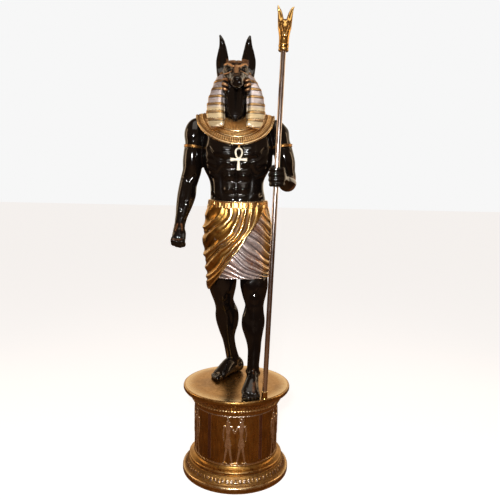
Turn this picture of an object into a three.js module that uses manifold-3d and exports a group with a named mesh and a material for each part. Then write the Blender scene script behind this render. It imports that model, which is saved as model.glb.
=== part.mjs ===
// A life-size standing figure with a jackal's head, a striped headdress, a broad collar and a wrapped kilt, on a round
// plinth with relief figures, holding a tall staff. Millimetres, +Z up, the figure faces -Y, +X is on the viewer's
// right. The origin is on the floor at the plinth's middle. Heights of the figure are measured from the plinth's top.
import * as THREE from 'three';
import { mergeVertices } from 'three/addons/utils/BufferGeometryUtils.js';
import Module from 'manifold-3d';

const wasm = await Module();
wasm.setup();

// Driving dimensions.
const PLINTH_HEIGHT = 480;
const SLAB_RADIUS = 290;
const DRUM_RADIUS = 224;
const STAFF_RADIUS = 12.5;
const STAFF_FOOT = new THREE.Vector3(146, -237, 0);
const STAFF_TOP = new THREE.Vector3(196, -257, 1700);
const CLEARANCE = 0.35;

const BLACK = { color: 0x0b0908, roughness: 0.18, metalness: 0.0 };
const GILT = { color: 0xb07a2c, roughness: 0.32, metalness: 0.9 };
const STEEL = { color: 0xa8a09a, roughness: 0.25, metalness: 0.95 };

const X_AXIS = new THREE.Vector3(1, 0, 0);
const TURN = Math.PI * 2;

/** Signed power: keeps the sign of a cosine or sine while it squares off an oval. */
const squared = (value, power) => Math.sign(value) * Math.abs(value) ** (2 / power);

/** A smooth hump, 1 at the middle and 0 from one reach away. */
function hump(distance, reach) {
  const share = Math.min(1, Math.abs(distance) / reach);
  return (1 - share * share) ** 2;
}

/** A closed skin over rings of points, turning anticlockwise about the way they run, with a fan over each end. */
function skin(rings) {
  const sides = rings[0].length;
  const positions = rings.flat();
  for (const ring of [rings[0], rings.at(-1)]) {
    positions.push(ring.reduce((sum, p) => sum.add(p), new THREE.Vector3()).divideScalar(sides));
  }
  const firstPole = rings.length * sides;
  const lastPole = firstPole + 1;
  const lastRing = firstPole - sides;
  const index = [];
  for (let j = 0; j < sides; j += 1) {
    const next = (j + 1) % sides;
    for (let i = 0; i < rings.length - 1; i += 1) {
      const here = i * sides;
      const there = here + sides;
      index.push(here + j, here + next, there + next, here + j, there + next, there + j);
    }
    index.push(firstPole, next, j, lastPole, lastRing + j, lastRing + next);
  }
  const geometry = new THREE.BufferGeometry().setFromPoints(positions);
  geometry.setIndex(index);
  return geometry;
}

/** A closed tyre-like skin: rings that come back to the first one. */
function tyre(rings) {
  const sides = rings[0].length;
  const index = [];
  rings.forEach((ring, i) => {
    const here = i * sides;
    const there = ((i + 1) % rings.length) * sides;
    for (let j = 0; j < sides; j += 1) {
      const next = (j + 1) % sides;
      index.push(here + j, here + next, there + next, here + j, there + next, there + j);
    }
  });
  const geometry = new THREE.BufferGeometry().setFromPoints(rings.flat());
  geometry.setIndex(index);
  return geometry;
}

/** Rows of numbers made smooth, with `steps` rows for each one given. */
function smoothRows(rows, steps) {
  const size = rows[0].length;
  const curve = new THREE.CubicInterpolant(rows.map((_, i) => i), rows.flat(), size);
  const count = (rows.length - 1) * steps;
  return Array.from({ length: count + 1 }, (_, k) => Array.from(curve.evaluate(k / steps)));
}

/** Rows of numbers read off, made smooth, at the given levels; rows and levels run downward. */
function rowsAtLevels(rows, levels) {
  const curve = new THREE.CubicInterpolant(rows.map((row) => -row[2]), rows.flat(), rows[0].length);
  return levels.map((z) => Array.from(curve.evaluate(-z)));
}

/**
 * A limb: oval sections along a smooth path. A row is [x, y, z, half width, half depth on the first side, half depth
 * on the second side]. The width lies along `across`; the first side is the one that (path x across) points to, which
 * is the front on a limb that runs down, the back on one that runs up and the top on one that runs forward.
 */
function limb(rows, { across = X_AXIS, sides = 12, steps = 1, levels = null, square = 2, relief = null } = {}) {
  const smooth = levels ? rowsAtLevels(rows, levels) : smoothRows(rows, steps);
  const middles = smooth.map((row) => new THREE.Vector3(row[0], row[1], row[2]));
  const rings = smooth.map((row, i) => {
    const along = middles[Math.min(i + 1, middles.length - 1)].clone().sub(middles[Math.max(i - 1, 0)]).normalize();
    const wideWay = across.clone().addScaledVector(along, -across.dot(along)).normalize();
    const deepWay = along.clone().cross(wideWay);
    return Array.from({ length: sides }, (_, j) => {
      const angle = (j / sides) * TURN;
      const width = row[3] * squared(Math.cos(angle), square);
      const depth = (Math.sin(angle) > 0 ? row[4] : row[5]) * squared(Math.sin(angle), square);
      const point = middles[i].clone().addScaledVector(wideWay, width).addScaledVector(deepWay, depth);
      return relief ? relief(point, middles[i]) : point;
    });
  });
  return skin(rings);
}

/** A solid for joining and cutting, from a closed geometry. */
function solid(geometry) {
  const bare = geometry.clone();
  bare.deleteAttribute('normal');
  bare.deleteAttribute('uv');
  const welded = mergeVertices(bare, 1e-3);
  return new wasm.Manifold(
    new wasm.Mesh({
      numProp: 3,
      vertProperties: new Float32Array(welded.attributes.position.array),
      triVerts: new Uint32Array(welded.index.array),
    }),
  );
}

/** All the given geometries joined into one solid. */
const joined = (geometries) => geometries.map(solid).reduce((whole, piece) => whole.add(piece));

/** A solid as a geometry again. */
function geometryOf(body) {
  const mesh = body.getMesh();
  const geometry = new THREE.BufferGeometry();
  geometry.setAttribute('position', new THREE.BufferAttribute(new Float32Array(mesh.vertProperties), 3));
  geometry.setIndex(Array.from(mesh.triVerts));
  geometry.computeVertexNormals();
  return geometry;
}

/** Raises a figure part from the plinth's top, where its heights are measured, to its place in the whole. */
const raised = (geometry) => geometry.translate(0, 0, PLINTH_HEIGHT);

// Body

const MUSCLE_BLOCK_HEIGHTS = [1054, 1120, 1182];
const TORSO_LEVELS = [1440, 1412, 1375, 1335, 1297, 1258, 1215, 1182, 1152, 1120, 1088, 1054, 1022, 985];

/** Chest, belly and shoulders' root, with the breast plates and the blocks of the belly standing proud. */
function torso() {
  const rows = [
    [-33, 20, 1440, 76, 56, 62],
    [-32, 20, 1412, 116, 66, 78],
    [-28, 18, 1380, 158, 86, 98],
    [-24, 14, 1336, 176, 110, 112],
    [-19, 10, 1284, 184, 122, 118],
    [-18, 8, 1206, 186, 122, 114],
    [-20, 6, 1180, 182, 118, 110],
    [-20, 5, 1154, 171, 112, 106],
    [-19, 4, 1101, 145, 103, 98],
    [-17, 4, 1048, 141, 100, 94],
    [-12, 6, 985, 147, 106, 98],
  ];
  const relief = (point, middle) => {
    const side = point.x - middle.x;
    const front = Math.max(0, (middle.y - point.y) / 120);
    const block = Math.max(...MUSCLE_BLOCK_HEIGHTS.map((z) => hump(point.z - z, 36)));
    const belly = 9 * block * hump(Math.abs(side) - 40, 42);
    const breast = 13 * hump(Math.abs(side) - 84, 88) * hump(point.z - 1262, 72);
    point.y -= front * (belly + breast);
    return point;
  };
  return limb(rows, { sides: 18, levels: TORSO_LEVELS, square: 2.35, relief });
}

/** The arm on the viewer's left, hanging down beside the body. */
function hangingArm() {
  return limb([
    [-196, 10, 1416, 18, 22, 22],
    [-228, 9, 1394, 48, 44, 46],
    [-248, 8, 1345, 52, 60, 60],
    [-250, 8, 1286, 46, 57, 56],
    [-253, 9, 1250, 50, 60, 56],
    [-256, 12, 1200, 53, 61, 56],
    [-260, 16, 1150, 50, 54, 52],
    [-270, 20, 1112, 48, 44, 48],
    [-279, 20, 1078, 47, 42, 44],
    [-286, 8, 1020, 49, 42, 38],
    [-296, -8, 966, 43, 35, 33],
    [-307, -25, 912, 33, 27, 26],
    [-315, -40, 862, 29, 21, 21],
    [-317, -50, 832, 32, 22, 22],
    [-318, -57, 795, 37, 24, 24],
    [-321, -60, 768, 34, 24, 22],
    [-321, -60, 758, 24, 14, 12],
  ], { sides: 10 });
}

/** The arm on the viewer's right down to the elbow. */
function raisedUpperArm() {
  return limb([
    [148, 12, 1416, 18, 22, 22],
    [176, 11, 1396, 43, 44, 46],
    [196, 10, 1348, 52, 60, 60],
    [212, 10, 1290, 48, 57, 56],
    [224, 12, 1252, 51, 60, 56],
    [237, 16, 1205, 53, 61, 56],
    [246, 26, 1155, 47, 54, 52],
    [255, 36, 1115, 43, 48, 46],
    [256, 40, 1084, 33, 38, 36],
    [256, 40, 1066, 18, 22, 20],
  ], { sides: 10 });
}

/** The forearm that comes forward to the staff. */
function raisedForearm() {
  return limb([
    [268, 62, 1094, 18, 22, 22],
    [264, 40, 1092, 34, 36, 36],
    [255, 0, 1088, 40, 42, 40],
    [245, -40, 1088, 43, 44, 42],
    [232, -95, 1093, 38, 36, 38],
    [220, -145, 1099, 29, 30, 31],
    [210, -190, 1104, 25, 29, 29],
    [207, -214, 1106, 22, 34, 36],
    [207, -250, 1107, 19, 42, 42],
    [205, -276, 1107, 15, 40, 40],
    [204, -284, 1107, 8, 30, 30],
  ], { sides: 8 });
}

/** One finger or thumb along its joints, each [x, y, z], thinner towards the tip. */
function finger(joints, thick, across) {
  const rows = joints.map(([x, y, z], i) => {
    const radius = i === joints.length - 1 ? thick * 0.55 : thick * (1 - 0.05 * i);
    return [x, y, z, radius, radius, radius];
  });
  return limb(rows, { sides: 5, across });
}

const FINGER_THICK = 13;

/** Fingers of the closed hand that hangs, curled back into the palm, and the thumb laid over them. */
function hangingFingers() {
  const fingers = [-346, -328, -310, -293].map((x, i) => {
    const knuckle = [10, 3, 0, 4][i];
    return finger([
      [x, -66, 790],
      [x, -76, 770 + knuckle],
      [x, -62, 752 + knuckle],
      [x, -38, 754 + knuckle],
      [x, -28, 772],
    ], FINGER_THICK, X_AXIS);
  });
  const thumb = finger([
    [-294, -50, 828],
    [-291, -64, 804],
    [-293, -78, 782],
    [-304, -86, 768],
  ], FINGER_THICK, X_AXIS);
  return [...fingers, thumb];
}

/** Fingers of the hand round the staff, stacked one over another, and the thumb above them. */
function grippingFingers() {
  const up = new THREE.Vector3(0, 0, 1);
  const fingers = [1143, 1119, 1095, 1073].map((z, i) => {
    const short = [2, 0, 2, 6][i];
    return finger([
      [208, -262, z],
      [200, -280, z],
      [172, -286, z],
      [150 + short, -276, z],
      [148 + short, -252, z],
      [162 + short, -230, z],
    ], FINGER_THICK, up);
  });
  const thumb = finger([
    [206, -215, 1126],
    [194, -224, 1150],
    [172, -230, 1158],
    [152, -250, 1156],
  ], FINGER_THICK, up);
  return [...fingers, thumb];
}

/** A plain gold band round an upper arm at `z`, between its outer and inner edges, tilted down towards the body. */
function armlet(x, z, reach, lean) {
  const rows = [-6, -5, 5, 6].map((dz, i) => {
    const grow = i === 0 || i === 3 ? -2 : 3;
    return [x, 9, z - dz, reach + grow, 58 + grow, 57 + grow];
  });
  const relief = (point, middle) => {
    point.z += (point.x - middle.x) * lean;
    return point;
  };
  return limb(rows, { sides: 10, relief });
}

/** The leg on the viewer's left, standing back and turned out. */
function backLeg() {
  return limb([
    [-88, 50, 640, 80, 84, 84],
    [-89, 60, 525, 75, 78, 74],
    [-86, 68, 478, 64, 66, 62],
    [-81, 74, 440, 54, 58, 54],
    [-73, 85, 405, 56, 50, 58],
    [-66, 94, 372, 64, 47, 68],
    [-62, 100, 335, 65, 45, 72],
    [-60, 107, 298, 59, 42, 66],
    [-59, 115, 260, 48, 38, 52],
    [-54, 124, 215, 36, 34, 42],
    [-45, 133, 165, 33, 32, 38],
    [-37, 143, 125, 34, 34, 40],
    [-28, 152, 85, 36, 38, 42],
    [-22, 158, 45, 34, 34, 40],
  ], { sides: 10 });
}

/** The leg on the viewer's right, set forward. */
function frontLeg() {
  return limb([
    [83, -8, 640, 80, 82, 84],
    [84, -20, 542, 74, 76, 74],
    [86, -28, 489, 63, 64, 64],
    [88, -34, 440, 50, 56, 52],
    [86, -40, 405, 54, 46, 58],
    [84, -45, 370, 61, 42, 68],
    [83, -50, 330, 61, 42, 68],
    [86, -57, 290, 51, 40, 56],
    [90, -64, 245, 40, 34, 44],
    [92, -70, 205, 35, 31, 38],
    [90, -75, 165, 33, 32, 38],
    [88, -78, 125, 32, 36, 40],
    [88, -80, 85, 34, 40, 42],
    [88, -80, 45, 32, 36, 40],
  ], { sides: 10 });
}

/**
 * A foot. `heel` is the back of the heel, `turn` the angle from straight ahead (towards +X), `inner` is +1 when the
 * big toe is on the +X side. Stations run from the heel forward: distance, shift to the inner side, middle height,
 * half width, height over the middle, depth under it.
 */
function foot(heel, turn, inner) {
  const ahead = new THREE.Vector3(Math.sin(turn), -Math.cos(turn), 0);
  const toInner = new THREE.Vector3(Math.cos(turn), Math.sin(turn), 0).multiplyScalar(inner);
  const at = (far, aside, z) => heel.clone().addScaledVector(ahead, far).addScaledVector(toInner, aside).setZ(z);
  const rowAt = ([far, aside, z, wide, over, under]) => [...at(far, aside, z).toArray(), wide, over, under];
  const body = limb([
    [2, 0, 30, 10, 12, 12],
    [12, 0, 30, 26, 28, 30],
    [36, 0, 38, 33, 46, 40],
    [66, 0, 46, 34, 56, 48],
    [100, 1, 46, 35, 54, 48],
    [136, 3, 37, 39, 48, 39],
    [170, 5, 28, 44, 32, 30],
    [194, 5, 22, 45, 20, 24],
    [206, 4, 18, 38, 12, 19],
  ].map(rowAt), { across: toInner.clone().multiplyScalar(inner), sides: 10 });
  const toes = [
    [31, 206, 247, 15],
    [9, 206, 243, 11],
    [-9, 203, 235, 10],
    [-25, 196, 224, 10],
    [-39, 186, 210, 10],
  ].map(([aside, root, tip, thick]) => limb([
    [root - 20, aside * 0.9, thick + 5, thick * 0.95, thick, thick + 6],
    [tip - thick, aside, thick - 1, thick, thick * 0.95, thick],
    [tip, aside, thick - 3, thick * 0.6, thick * 0.5, thick * 0.5],
  ].map(rowAt), { across: toInner.clone().multiplyScalar(inner), sides: 6 }));
  return [body, ...toes];
}

/** The neck, from the chest up into the jaw. */
function neck() {
  return limb([
    [-35, -6, 1612, 50, 58, 60],
    [-35, -2, 1560, 58, 68, 66],
    [-35, 6, 1500, 60, 64, 64],
    [-34, 12, 1440, 64, 62, 66],
    [-33, 15, 1385, 70, 70, 70],
  ], { sides: 8 });
}

/** The jackal's skull and long muzzle in one, from the back of the head to the nose. */
function head() {
  const browsAndEyes = (point, middle) => {
    const side = Math.abs(point.x - middle.x);
    const over = point.z > middle.z ? 1 : 0;
    const brow = 8 * over * hump(point.y + 100, 26) * hump(side - 36, 26);
    const socket = 7 * hump(point.y + 112, 22) * hump(side - 46, 18);
    point.z += brow;
    point.x -= Math.sign(point.x - middle.x) * socket;
    return point;
  };
  return limb([
    [-36, 74, 1640, 18, 24, 24],
    [-36, 52, 1643, 52, 48, 54],
    [-36, 10, 1648, 68, 62, 68],
    [-34, -30, 1649, 69, 63, 72],
    [-31, -70, 1648, 66, 54, 76],
    [-28, -100, 1640, 58, 43, 74],
    [-25, -128, 1622, 44, 32, 64],
    [-23, -160, 1600, 35, 28, 54],
    [-21, -195, 1580, 31, 26, 46],
    [-20, -225, 1565, 28, 25, 38],
    [-19, -246, 1557, 24, 21, 27],
    [-19, -255, 1554, 16, 14, 18],
  ], { sides: 12, relief: browsAndEyes });
}

/**
 * One tall pointed ear, hollowed at the front. `side` is -1 on the viewer's left and +1 on the right; the one on the
 * right is turned a little more to the front, which shows it wider, and its tip leans in.
 */
function ear(side) {
  const middle = -36;
  const broad = side > 0 ? 1.12 : 0.98;
  const rows = [
    [70, 6, 1612, 14, 16, 16],
    [71, 6, 1636, 25, 22, 20],
    [70, 4, 1672, 31, 20, 19],
    [69, 3, 1716, 34, 15, 16],
    [69, 4, 1762, 26, 10, 13],
    [70, 7, 1792, 19, 8, 10],
    [75, 10, 1820, 13, 6, 7],
    [82, 13, 1838, 7, 4, 4],
    [86, 14, 1846, 2, 2, 2],
  ];
  const placed = ([x, y, z, wide, back, front]) => {
    const inward = side > 0 ? 3 + 13 * Math.max(0, (z - 1740) / 106) ** 2 : 0;
    return [middle + side * (x - inward), y, z, wide * broad, back, front];
  };
  const shell = solid(limb(rows.map(placed), { sides: 8 }));
  const hollowRows = rows.slice(1, 7).map(([x, y, z, wide, back]) => [x, y - back - 6, z, wide * 0.66, 15, 14]);
  return shell.subtract(solid(limb(hollowRows.map(placed), { sides: 6 })));
}

// Dress

const STRIPE_PITCH = 45;
const STRIPE_TOP = 1659;
const STRIPE_RISE = 4;

/** How far a point of the headdress stands out: each band steps out at its top and dies away to its foot. */
function stripeRise(z) {
  const share = (((STRIPE_TOP - z) / STRIPE_PITCH) % 1 + 1) % 1;
  return STRIPE_RISE * (1 - share);
}

/** The heights just over and under each step between two heights, from the top down. */
function stripeLevels(top, bottom) {
  const levels = [];
  for (let step = STRIPE_TOP; step > bottom; step -= STRIPE_PITCH) levels.push(step + 0.5, step - 0.5);
  return [top, ...levels.filter((z) => z < top - 3 && z > bottom + 3), bottom];
}

/** Lets the bands of a headdress part stand out from its middle line. */
function banded(point, middle) {
  const away = point.clone().sub(middle).setZ(0);
  return point.addScaledVector(away.normalize(), stripeRise(point.z));
}

/** The cloth of the headdress, which falls from behind the ears to the shoulders, open in front for the face. */
function headdress() {
  const rows = [
    [-35, 44, 1698, 30, 28, 28],
    [-35, 42, 1676, 76, 54, 46],
    [-35, 40, 1640, 98, 72, 62],
    [-34, 40, 1600, 118, 79, 74],
    [-34, 38, 1568, 128, 82, 88],
    [-33, 34, 1520, 144, 84, 96],
    [-30, 28, 1458, 153, 90, 100],
    [-29, 20, 1425, 153, 94, 92],
    [-28, 16, 1404, 136, 82, 60],
  ];
  const cloth = limb(rows, { sides: 16, levels: stripeLevels(1698, 1404), square: 2.8, relief: banded });
  const opening = new THREE.BoxGeometry(116, 160, 300).translate(-28, -110, 1500);
  return solid(cloth).subtract(solid(opening));
}

/** The two broad ends of the headdress that lie on the chest before the shoulders; `side` is -1 on the left. */
function lappet(side) {
  const rows = [
    [77, -4, 1604, 23, 14, 14],
    [91, -14, 1568, 32, 20, 20],
    [101, -32, 1520, 38, 24, 22],
    [105, -58, 1458, 43, 24, 22],
    [102, -82, 1410, 43, 20, 20],
    [92, -98, 1380, 38, 17, 17],
    [82, -104, 1362, 30, 15, 13],
  ].map(([x, ...rest]) => [-29 + side * x, ...rest]);
  const outerEdgeBack = new THREE.Vector3(1, side * 0.32, 0).normalize();
  return limb(rows, {
    across: outerEdgeBack,
    sides: 10,
    levels: stripeLevels(1604, 1362),
    square: 3.6,
    relief: banded,
  });
}

/** The tail of the headdress that hangs down the back, banded like the rest. */
function headdressTail() {
  return limb([
    [-30, 128, 1480, 46, 16, 30],
    [-28, 134, 1400, 40, 14, 30],
    [-26, 132, 1320, 33, 12, 30],
    [-24, 128, 1250, 27, 10, 26],
    [-24, 124, 1225, 22, 6, 20],
  ], { sides: 6, levels: stripeLevels(1480, 1225), square: 3, relief: banded });
}

const COLLAR_ROWS = 3;
const COLLAR_SIDES = 26;

/** The broad collar: concentric raised rows from the neck out over chest, shoulders and back. */
function broadCollar() {
  const middle = new THREE.Vector3(-33, 8, 0);
  const rings = Array.from({ length: COLLAR_SIDES }, (_, i) => {
    const angle = (i / COLLAR_SIDES) * TURN;
    const across = Math.cos(angle);
    const back = Math.sin(angle);
    const deep = back < 0 ? 138 : 134;
    const at = (share, lift) => {
      const reach = 48 + share * (205 - 48);
      const reachDeep = 48 + share ** 0.82 * (deep - 48);
      const fall = back < 0 ? 58 + 106 * share : 20 + 90 * share;
      const high = 1458 - 26 * share ** 2.5 - fall * Math.abs(back) ** 1.05 + lift;
      const shift = 20 * Math.abs(back) ** 2 * share * (back < 0 ? 1 : 0);
      return new THREE.Vector3(middle.x + reach * across + shift, middle.y + reachDeep * back, high);
    };
    const top = Array.from({ length: COLLAR_ROWS + 1 }, (_, k) => at(k / COLLAR_ROWS, k % 2 ? 3 : 0));
    return [...top, at(1, -24), at(0, -30)];
  });
  return tyre(rings);
}

/** The outline of the pendant, a looped cross with flared arms, drawn flat about its crossing. */
function pendantShape() {
  const flare = 8.5;
  const slim = 4.5;
  const shape = new THREE.Shape();
  shape.moveTo(-slim, -4);
  shape.lineTo(-flare, -54);
  shape.lineTo(flare, -54);
  shape.lineTo(slim, -4);
  shape.lineTo(43, -flare);
  shape.lineTo(43, flare);
  shape.lineTo(slim, 5);
  shape.bezierCurveTo(12, 16, 21, 32, 20, 42);
  shape.bezierCurveTo(18, 62, -18, 62, -20, 42);
  shape.bezierCurveTo(-21, 32, -12, 16, -slim, 5);
  shape.lineTo(-43, flare);
  shape.lineTo(-43, -flare);
  shape.closePath();
  const hole = new THREE.Path();
  hole.moveTo(0, 13);
  hole.bezierCurveTo(8, 24, 13, 34, 12, 41);
  hole.bezierCurveTo(11, 52, -11, 52, -12, 41);
  hole.bezierCurveTo(-13, 34, -8, 24, 0, 13);
  shape.holes.push(hole);
  return shape;
}

/** The pendant plate on the chest, with the small bail that hangs it from the collar. */
function pendant() {
  const plate = new THREE.ExtrudeGeometry(pendantShape(), { depth: 26, bevelEnabled: false, curveSegments: 3 });
  plate.rotateX(Math.PI / 2).rotateX(0.075).translate(-8, -104, 1200);
  const bail = new THREE.BoxGeometry(11, 26, 20).translate(-9, -121, 1262);
  return [plate, bail];
}

const KILT_TOP = 965;
const KILT_LEVELS = [990, 960, 928, 892, 855, 818, 780, 742, 704, 666, 628, 590];
const HEM = 590;
const TIP = 523;
const WRAP_REACH = 300;
const FOLD_PITCH = 58;

/**
 * The kilt's folds at a point of its front: arcs that leave the belt straight down and sweep to the left hip, under
 * them the plainer inner layer whose folds fall away to the right. Gives the height over the mean surface.
 */
function foldRise(point) {
  const fromHip = Math.hypot(point.x + 196, (KILT_TOP - point.z) / 1.36);
  if (fromHip < WRAP_REACH) {
    const near = hump(fromHip - WRAP_REACH + 12, 26);
    return 6 + 5 * Math.cos((fromHip / FOLD_PITCH) * TURN) * (1 - near) + 6 * near;
  }
  const slant = (point.z + 0.75 * point.x) / FOLD_PITCH;
  return -5 + 3 * Math.cos(slant * TURN);
}

/** The wrapped kilt, with the outer layer's pointed corner hanging low at the left. */
function kilt() {
  const rows = [
    [-11, 6, 990, 150, 104, 96],
    [-11, 6, KILT_TOP, 160, 112, 104],
    [-10, 8, 915, 171, 118, 118],
    [-10, 10, 870, 179, 127, 128],
    [-9, 13, 781, 182, 141, 142],
    [-7, 17, 700, 178, 148, 148],
    [-4, 20, 640, 172, 150, 146],
    [-3, 20, HEM, 168, 150, 142],
  ];
  const fold = (point, middle) => {
    const away = point.clone().sub(middle).setZ(0).normalize();
    const settle = Math.min(1, Math.max(0, (KILT_TOP - point.z + 10) / 40));
    const front = Math.min(1, Math.max(0, 0.5 - away.y * 1.6));
    const back = 3 * Math.cos(Math.atan2(away.y, away.x) * 12);
    point.addScaledVector(away, settle * (front * foldRise(point) + (1 - front) * back));
    if (point.z < HEM + 5) {
      const corner = hump(Math.atan2(away.y, away.x) + Math.PI * 0.812, 0.42);
      point.z -= corner * (HEM - TIP) + 4 * (away.y < 0 ? 1 : 0);
    }
    return point;
  };
  return limb(rows, { sides: 32, levels: KILT_LEVELS, square: 2.3, relief: fold });
}

/** The belt: a band of upright ridges, dipping a little in front. */
function belt() {
  const rows = [1003, 1000, 958, 954].map((z, i) => {
    const grow = i === 0 || i === 3 ? 0 : 5;
    return [-11, 6, z, 153 + grow, 110 + grow, 106 + grow];
  });
  let corner = 0;
  const ridges = (point, middle) => {
    const away = point.clone().sub(middle).setZ(0).normalize();
    corner += 1;
    point.z -= 12 * Math.max(0, -away.y);
    return point.addScaledVector(away, corner % 2 ? 3 : 0);
  };
  return limb(rows, { sides: 24, square: 2.3, relief: ridges });
}

// Staff

const STAFF_AXIS = STAFF_TOP.clone().sub(STAFF_FOOT).normalize();

/** Stands a shape that is drawn about the Z axis on the staff's line, `along` millimetres up from its foot. */
function onStaff(geometry, along) {
  const turn = new THREE.Quaternion().setFromUnitVectors(new THREE.Vector3(0, 0, 1), STAFF_AXIS);
  const at = STAFF_FOOT.clone().addScaledVector(STAFF_AXIS, along);
  return geometry.applyQuaternion(turn).translate(at.x, at.y, at.z + PLINTH_HEIGHT);
}

/** A round bar about the Z axis, from z = 0 up. */
function bar(radius, length) {
  return new THREE.CylinderGeometry(radius, radius, length, 16).rotateX(Math.PI / 2).translate(0, 0, length / 2);
}

/** A turned shape about the Z axis, from a profile of [radius, height] that closes on itself or on the axis. */
function turned(profile, sides) {
  const points = profile.map(([radius, height]) => new THREE.Vector2(radius, height));
  return new THREE.LatheGeometry(points, sides).rotateX(Math.PI / 2);
}

const SOCKET_DEPTH = 30;
const FERRULE_HEIGHT = 42;
const SHAFT_START = FERRULE_HEIGHT - SOCKET_DEPTH;
const HEAD_START = 1695;
const SHAFT_LENGTH = HEAD_START + SOCKET_DEPTH - SHAFT_START;
const BORE = STAFF_RADIUS + CLEARANCE;

/** The gilt cup that the shaft stands in. */
function ferrule() {
  const rim = STAFF_RADIUS + 2.5;
  const cup = turned([
    [0, 0],
    [rim + 3, 0],
    [rim + 3, 6],
    [rim, 12],
    [rim, FERRULE_HEIGHT],
    [BORE, FERRULE_HEIGHT],
    [BORE, SHAFT_START - CLEARANCE],
    [0, SHAFT_START - CLEARANCE],
  ], 14);
  const tilted = solid(onStaff(cup, 0));
  const slab = new THREE.BoxGeometry(80, 80, 40).translate(STAFF_FOOT.x, STAFF_FOOT.y, PLINTH_HEIGHT - 20 + CLEARANCE);
  return geometryOf(tilted.subtract(solid(slab)));
}

/** The finial: a socket that widens into a small jackal's head, muzzle down, with two ears spread in a V. */
function staffHead() {
  const socket = turned([
    [BORE, 0],
    [22, 0],
    [25, 5],
    [25, 26],
    [23.5, 30],
    [24.5, 66],
    [29, 92],
    [31, 108],
    [25, 134],
    [0, 146],
    [0, SOCKET_DEPTH + CLEARANCE],
    [BORE, SOCKET_DEPTH + CLEARANCE],
    [BORE, 0],
  ], 14);
  const muzzle = limb([
    [0, -12, 122, 19, 14, 12],
    [0, -24, 106, 17, 13, 12],
    [0, -32, 82, 13, 9, 10],
    [0, -32, 62, 10, 7, 9],
    [0, -28, 54, 6, 4, 5],
  ], { sides: 6 });
  const spike = (side, tip) => limb([
    [side * 14, 0, 104, 18, 15, 15],
    [side * 19, 1, 138, 15, 13, 13],
    [side * 26, 2, 176, 11, 9, 9],
    [side * 34, 3, 196, 6, 5, 5],
    [side * tip, 4, 208 - 2 * side, 2, 2, 2],
  ], { sides: 6 });
  const whole = joined([socket, muzzle, spike(-1, 36), spike(1, 41)]);
  return onStaff(geometryOf(whole), HEAD_START);
}

// Plinth

const PANELS = 5;
const PLINTH_PROFILE = [
  [0, 0],
  [285, 0],
  [290, 8],
  [290, 24],
  [282, 34],
  [273, 37],
  [256, 74],
  [251, 77],
  [255, 85],
  [251, 95],
  [239, 99],
  [227, 108],
  [DRUM_RADIUS, 119],
  [DRUM_RADIUS, 380],
  [234, 386],
  [235, 397],
  [242, 404],
  [243, 416],
  [262, 438],
  [284, 455],
  [SLAB_RADIUS, 463],
  [SLAB_RADIUS, 473],
  [286, PLINTH_HEIGHT],
  [0, PLINTH_HEIGHT],
];

/** The outline of a striding figure in a kilt and tall headdress, seen from the side, reaching forward; y is up. */
function walkerShape() {
  const shape = new THREE.Shape();
  [
    [-30, 0], [-12, 0], [-20, 9], [-6, 74], [8, 8], [8, 0], [30, 0], [19, 9], [15, 84], [10, 118], [16, 158],
    [39, 149], [41, 158], [9, 184], [17, 198], [14, 236], [-5, 242], [-13, 204], [-6, 184], [-23, 177], [-30, 105],
    [-22, 105], [-14, 155], [-14, 118], [-25, 78], [-29, 9],
  ].forEach(([x, y], i) => (i ? shape.lineTo(x, y) : shape.moveTo(x, y)));
  shape.closePath();
  return shape;
}

/** A flat shape stood on the drum's face at an angle, sunk in it, with `proud` millimetres showing. */
function onDrum(shape, angle, z, proud, mirrored) {
  const plate = new THREE.ExtrudeGeometry(shape, { depth: 24, bevelEnabled: false, curveSegments: 3 });
  if (mirrored) plate.rotateY(Math.PI).translate(0, 0, 24);
  plate.rotateX(Math.PI / 2).translate(0, -(DRUM_RADIUS + proud - 24), z);
  return plate.rotateZ(angle);
}

/** The plinth: turned mouldings, strips between its panels, two facing walkers in each, and strokes round its foot. */
function plinth() {
  const drum = turned(PLINTH_PROFILE, 36);
  const reliefs = [];
  const half = 35;
  const strip = new THREE.Shape([[-9, 0], [9, 0], [9, 238], [-9, 238]].map(([x, y]) => new THREE.Vector2(x, y)));
  for (let panel = 0; panel < PANELS; panel += 1) {
    const angle = (panel / PANELS) * TURN;
    reliefs.push(onDrum(strip, angle + Math.PI / PANELS, 137, 3, false));
    reliefs.push(onDrum(walkerShape(), angle - half / DRUM_RADIUS, 130, 5, false));
    reliefs.push(onDrum(walkerShape(), angle + half / DRUM_RADIUS, 130, 5, true));
  }
  const strokes = 24;
  for (let i = 0; i < strokes; i += 1) {
    const tall = 22 + 8 * (i % 3);
    const stroke = new THREE.BoxGeometry(i % 2 ? 12 : 20, 8, tall).rotateX(-0.44).translate(0, -264, 55);
    reliefs.push(stroke.rotateZ(((i + 0.5) / strokes) * TURN));
  }
  return geometryOf(joined([drum, ...reliefs]));
}

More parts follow.
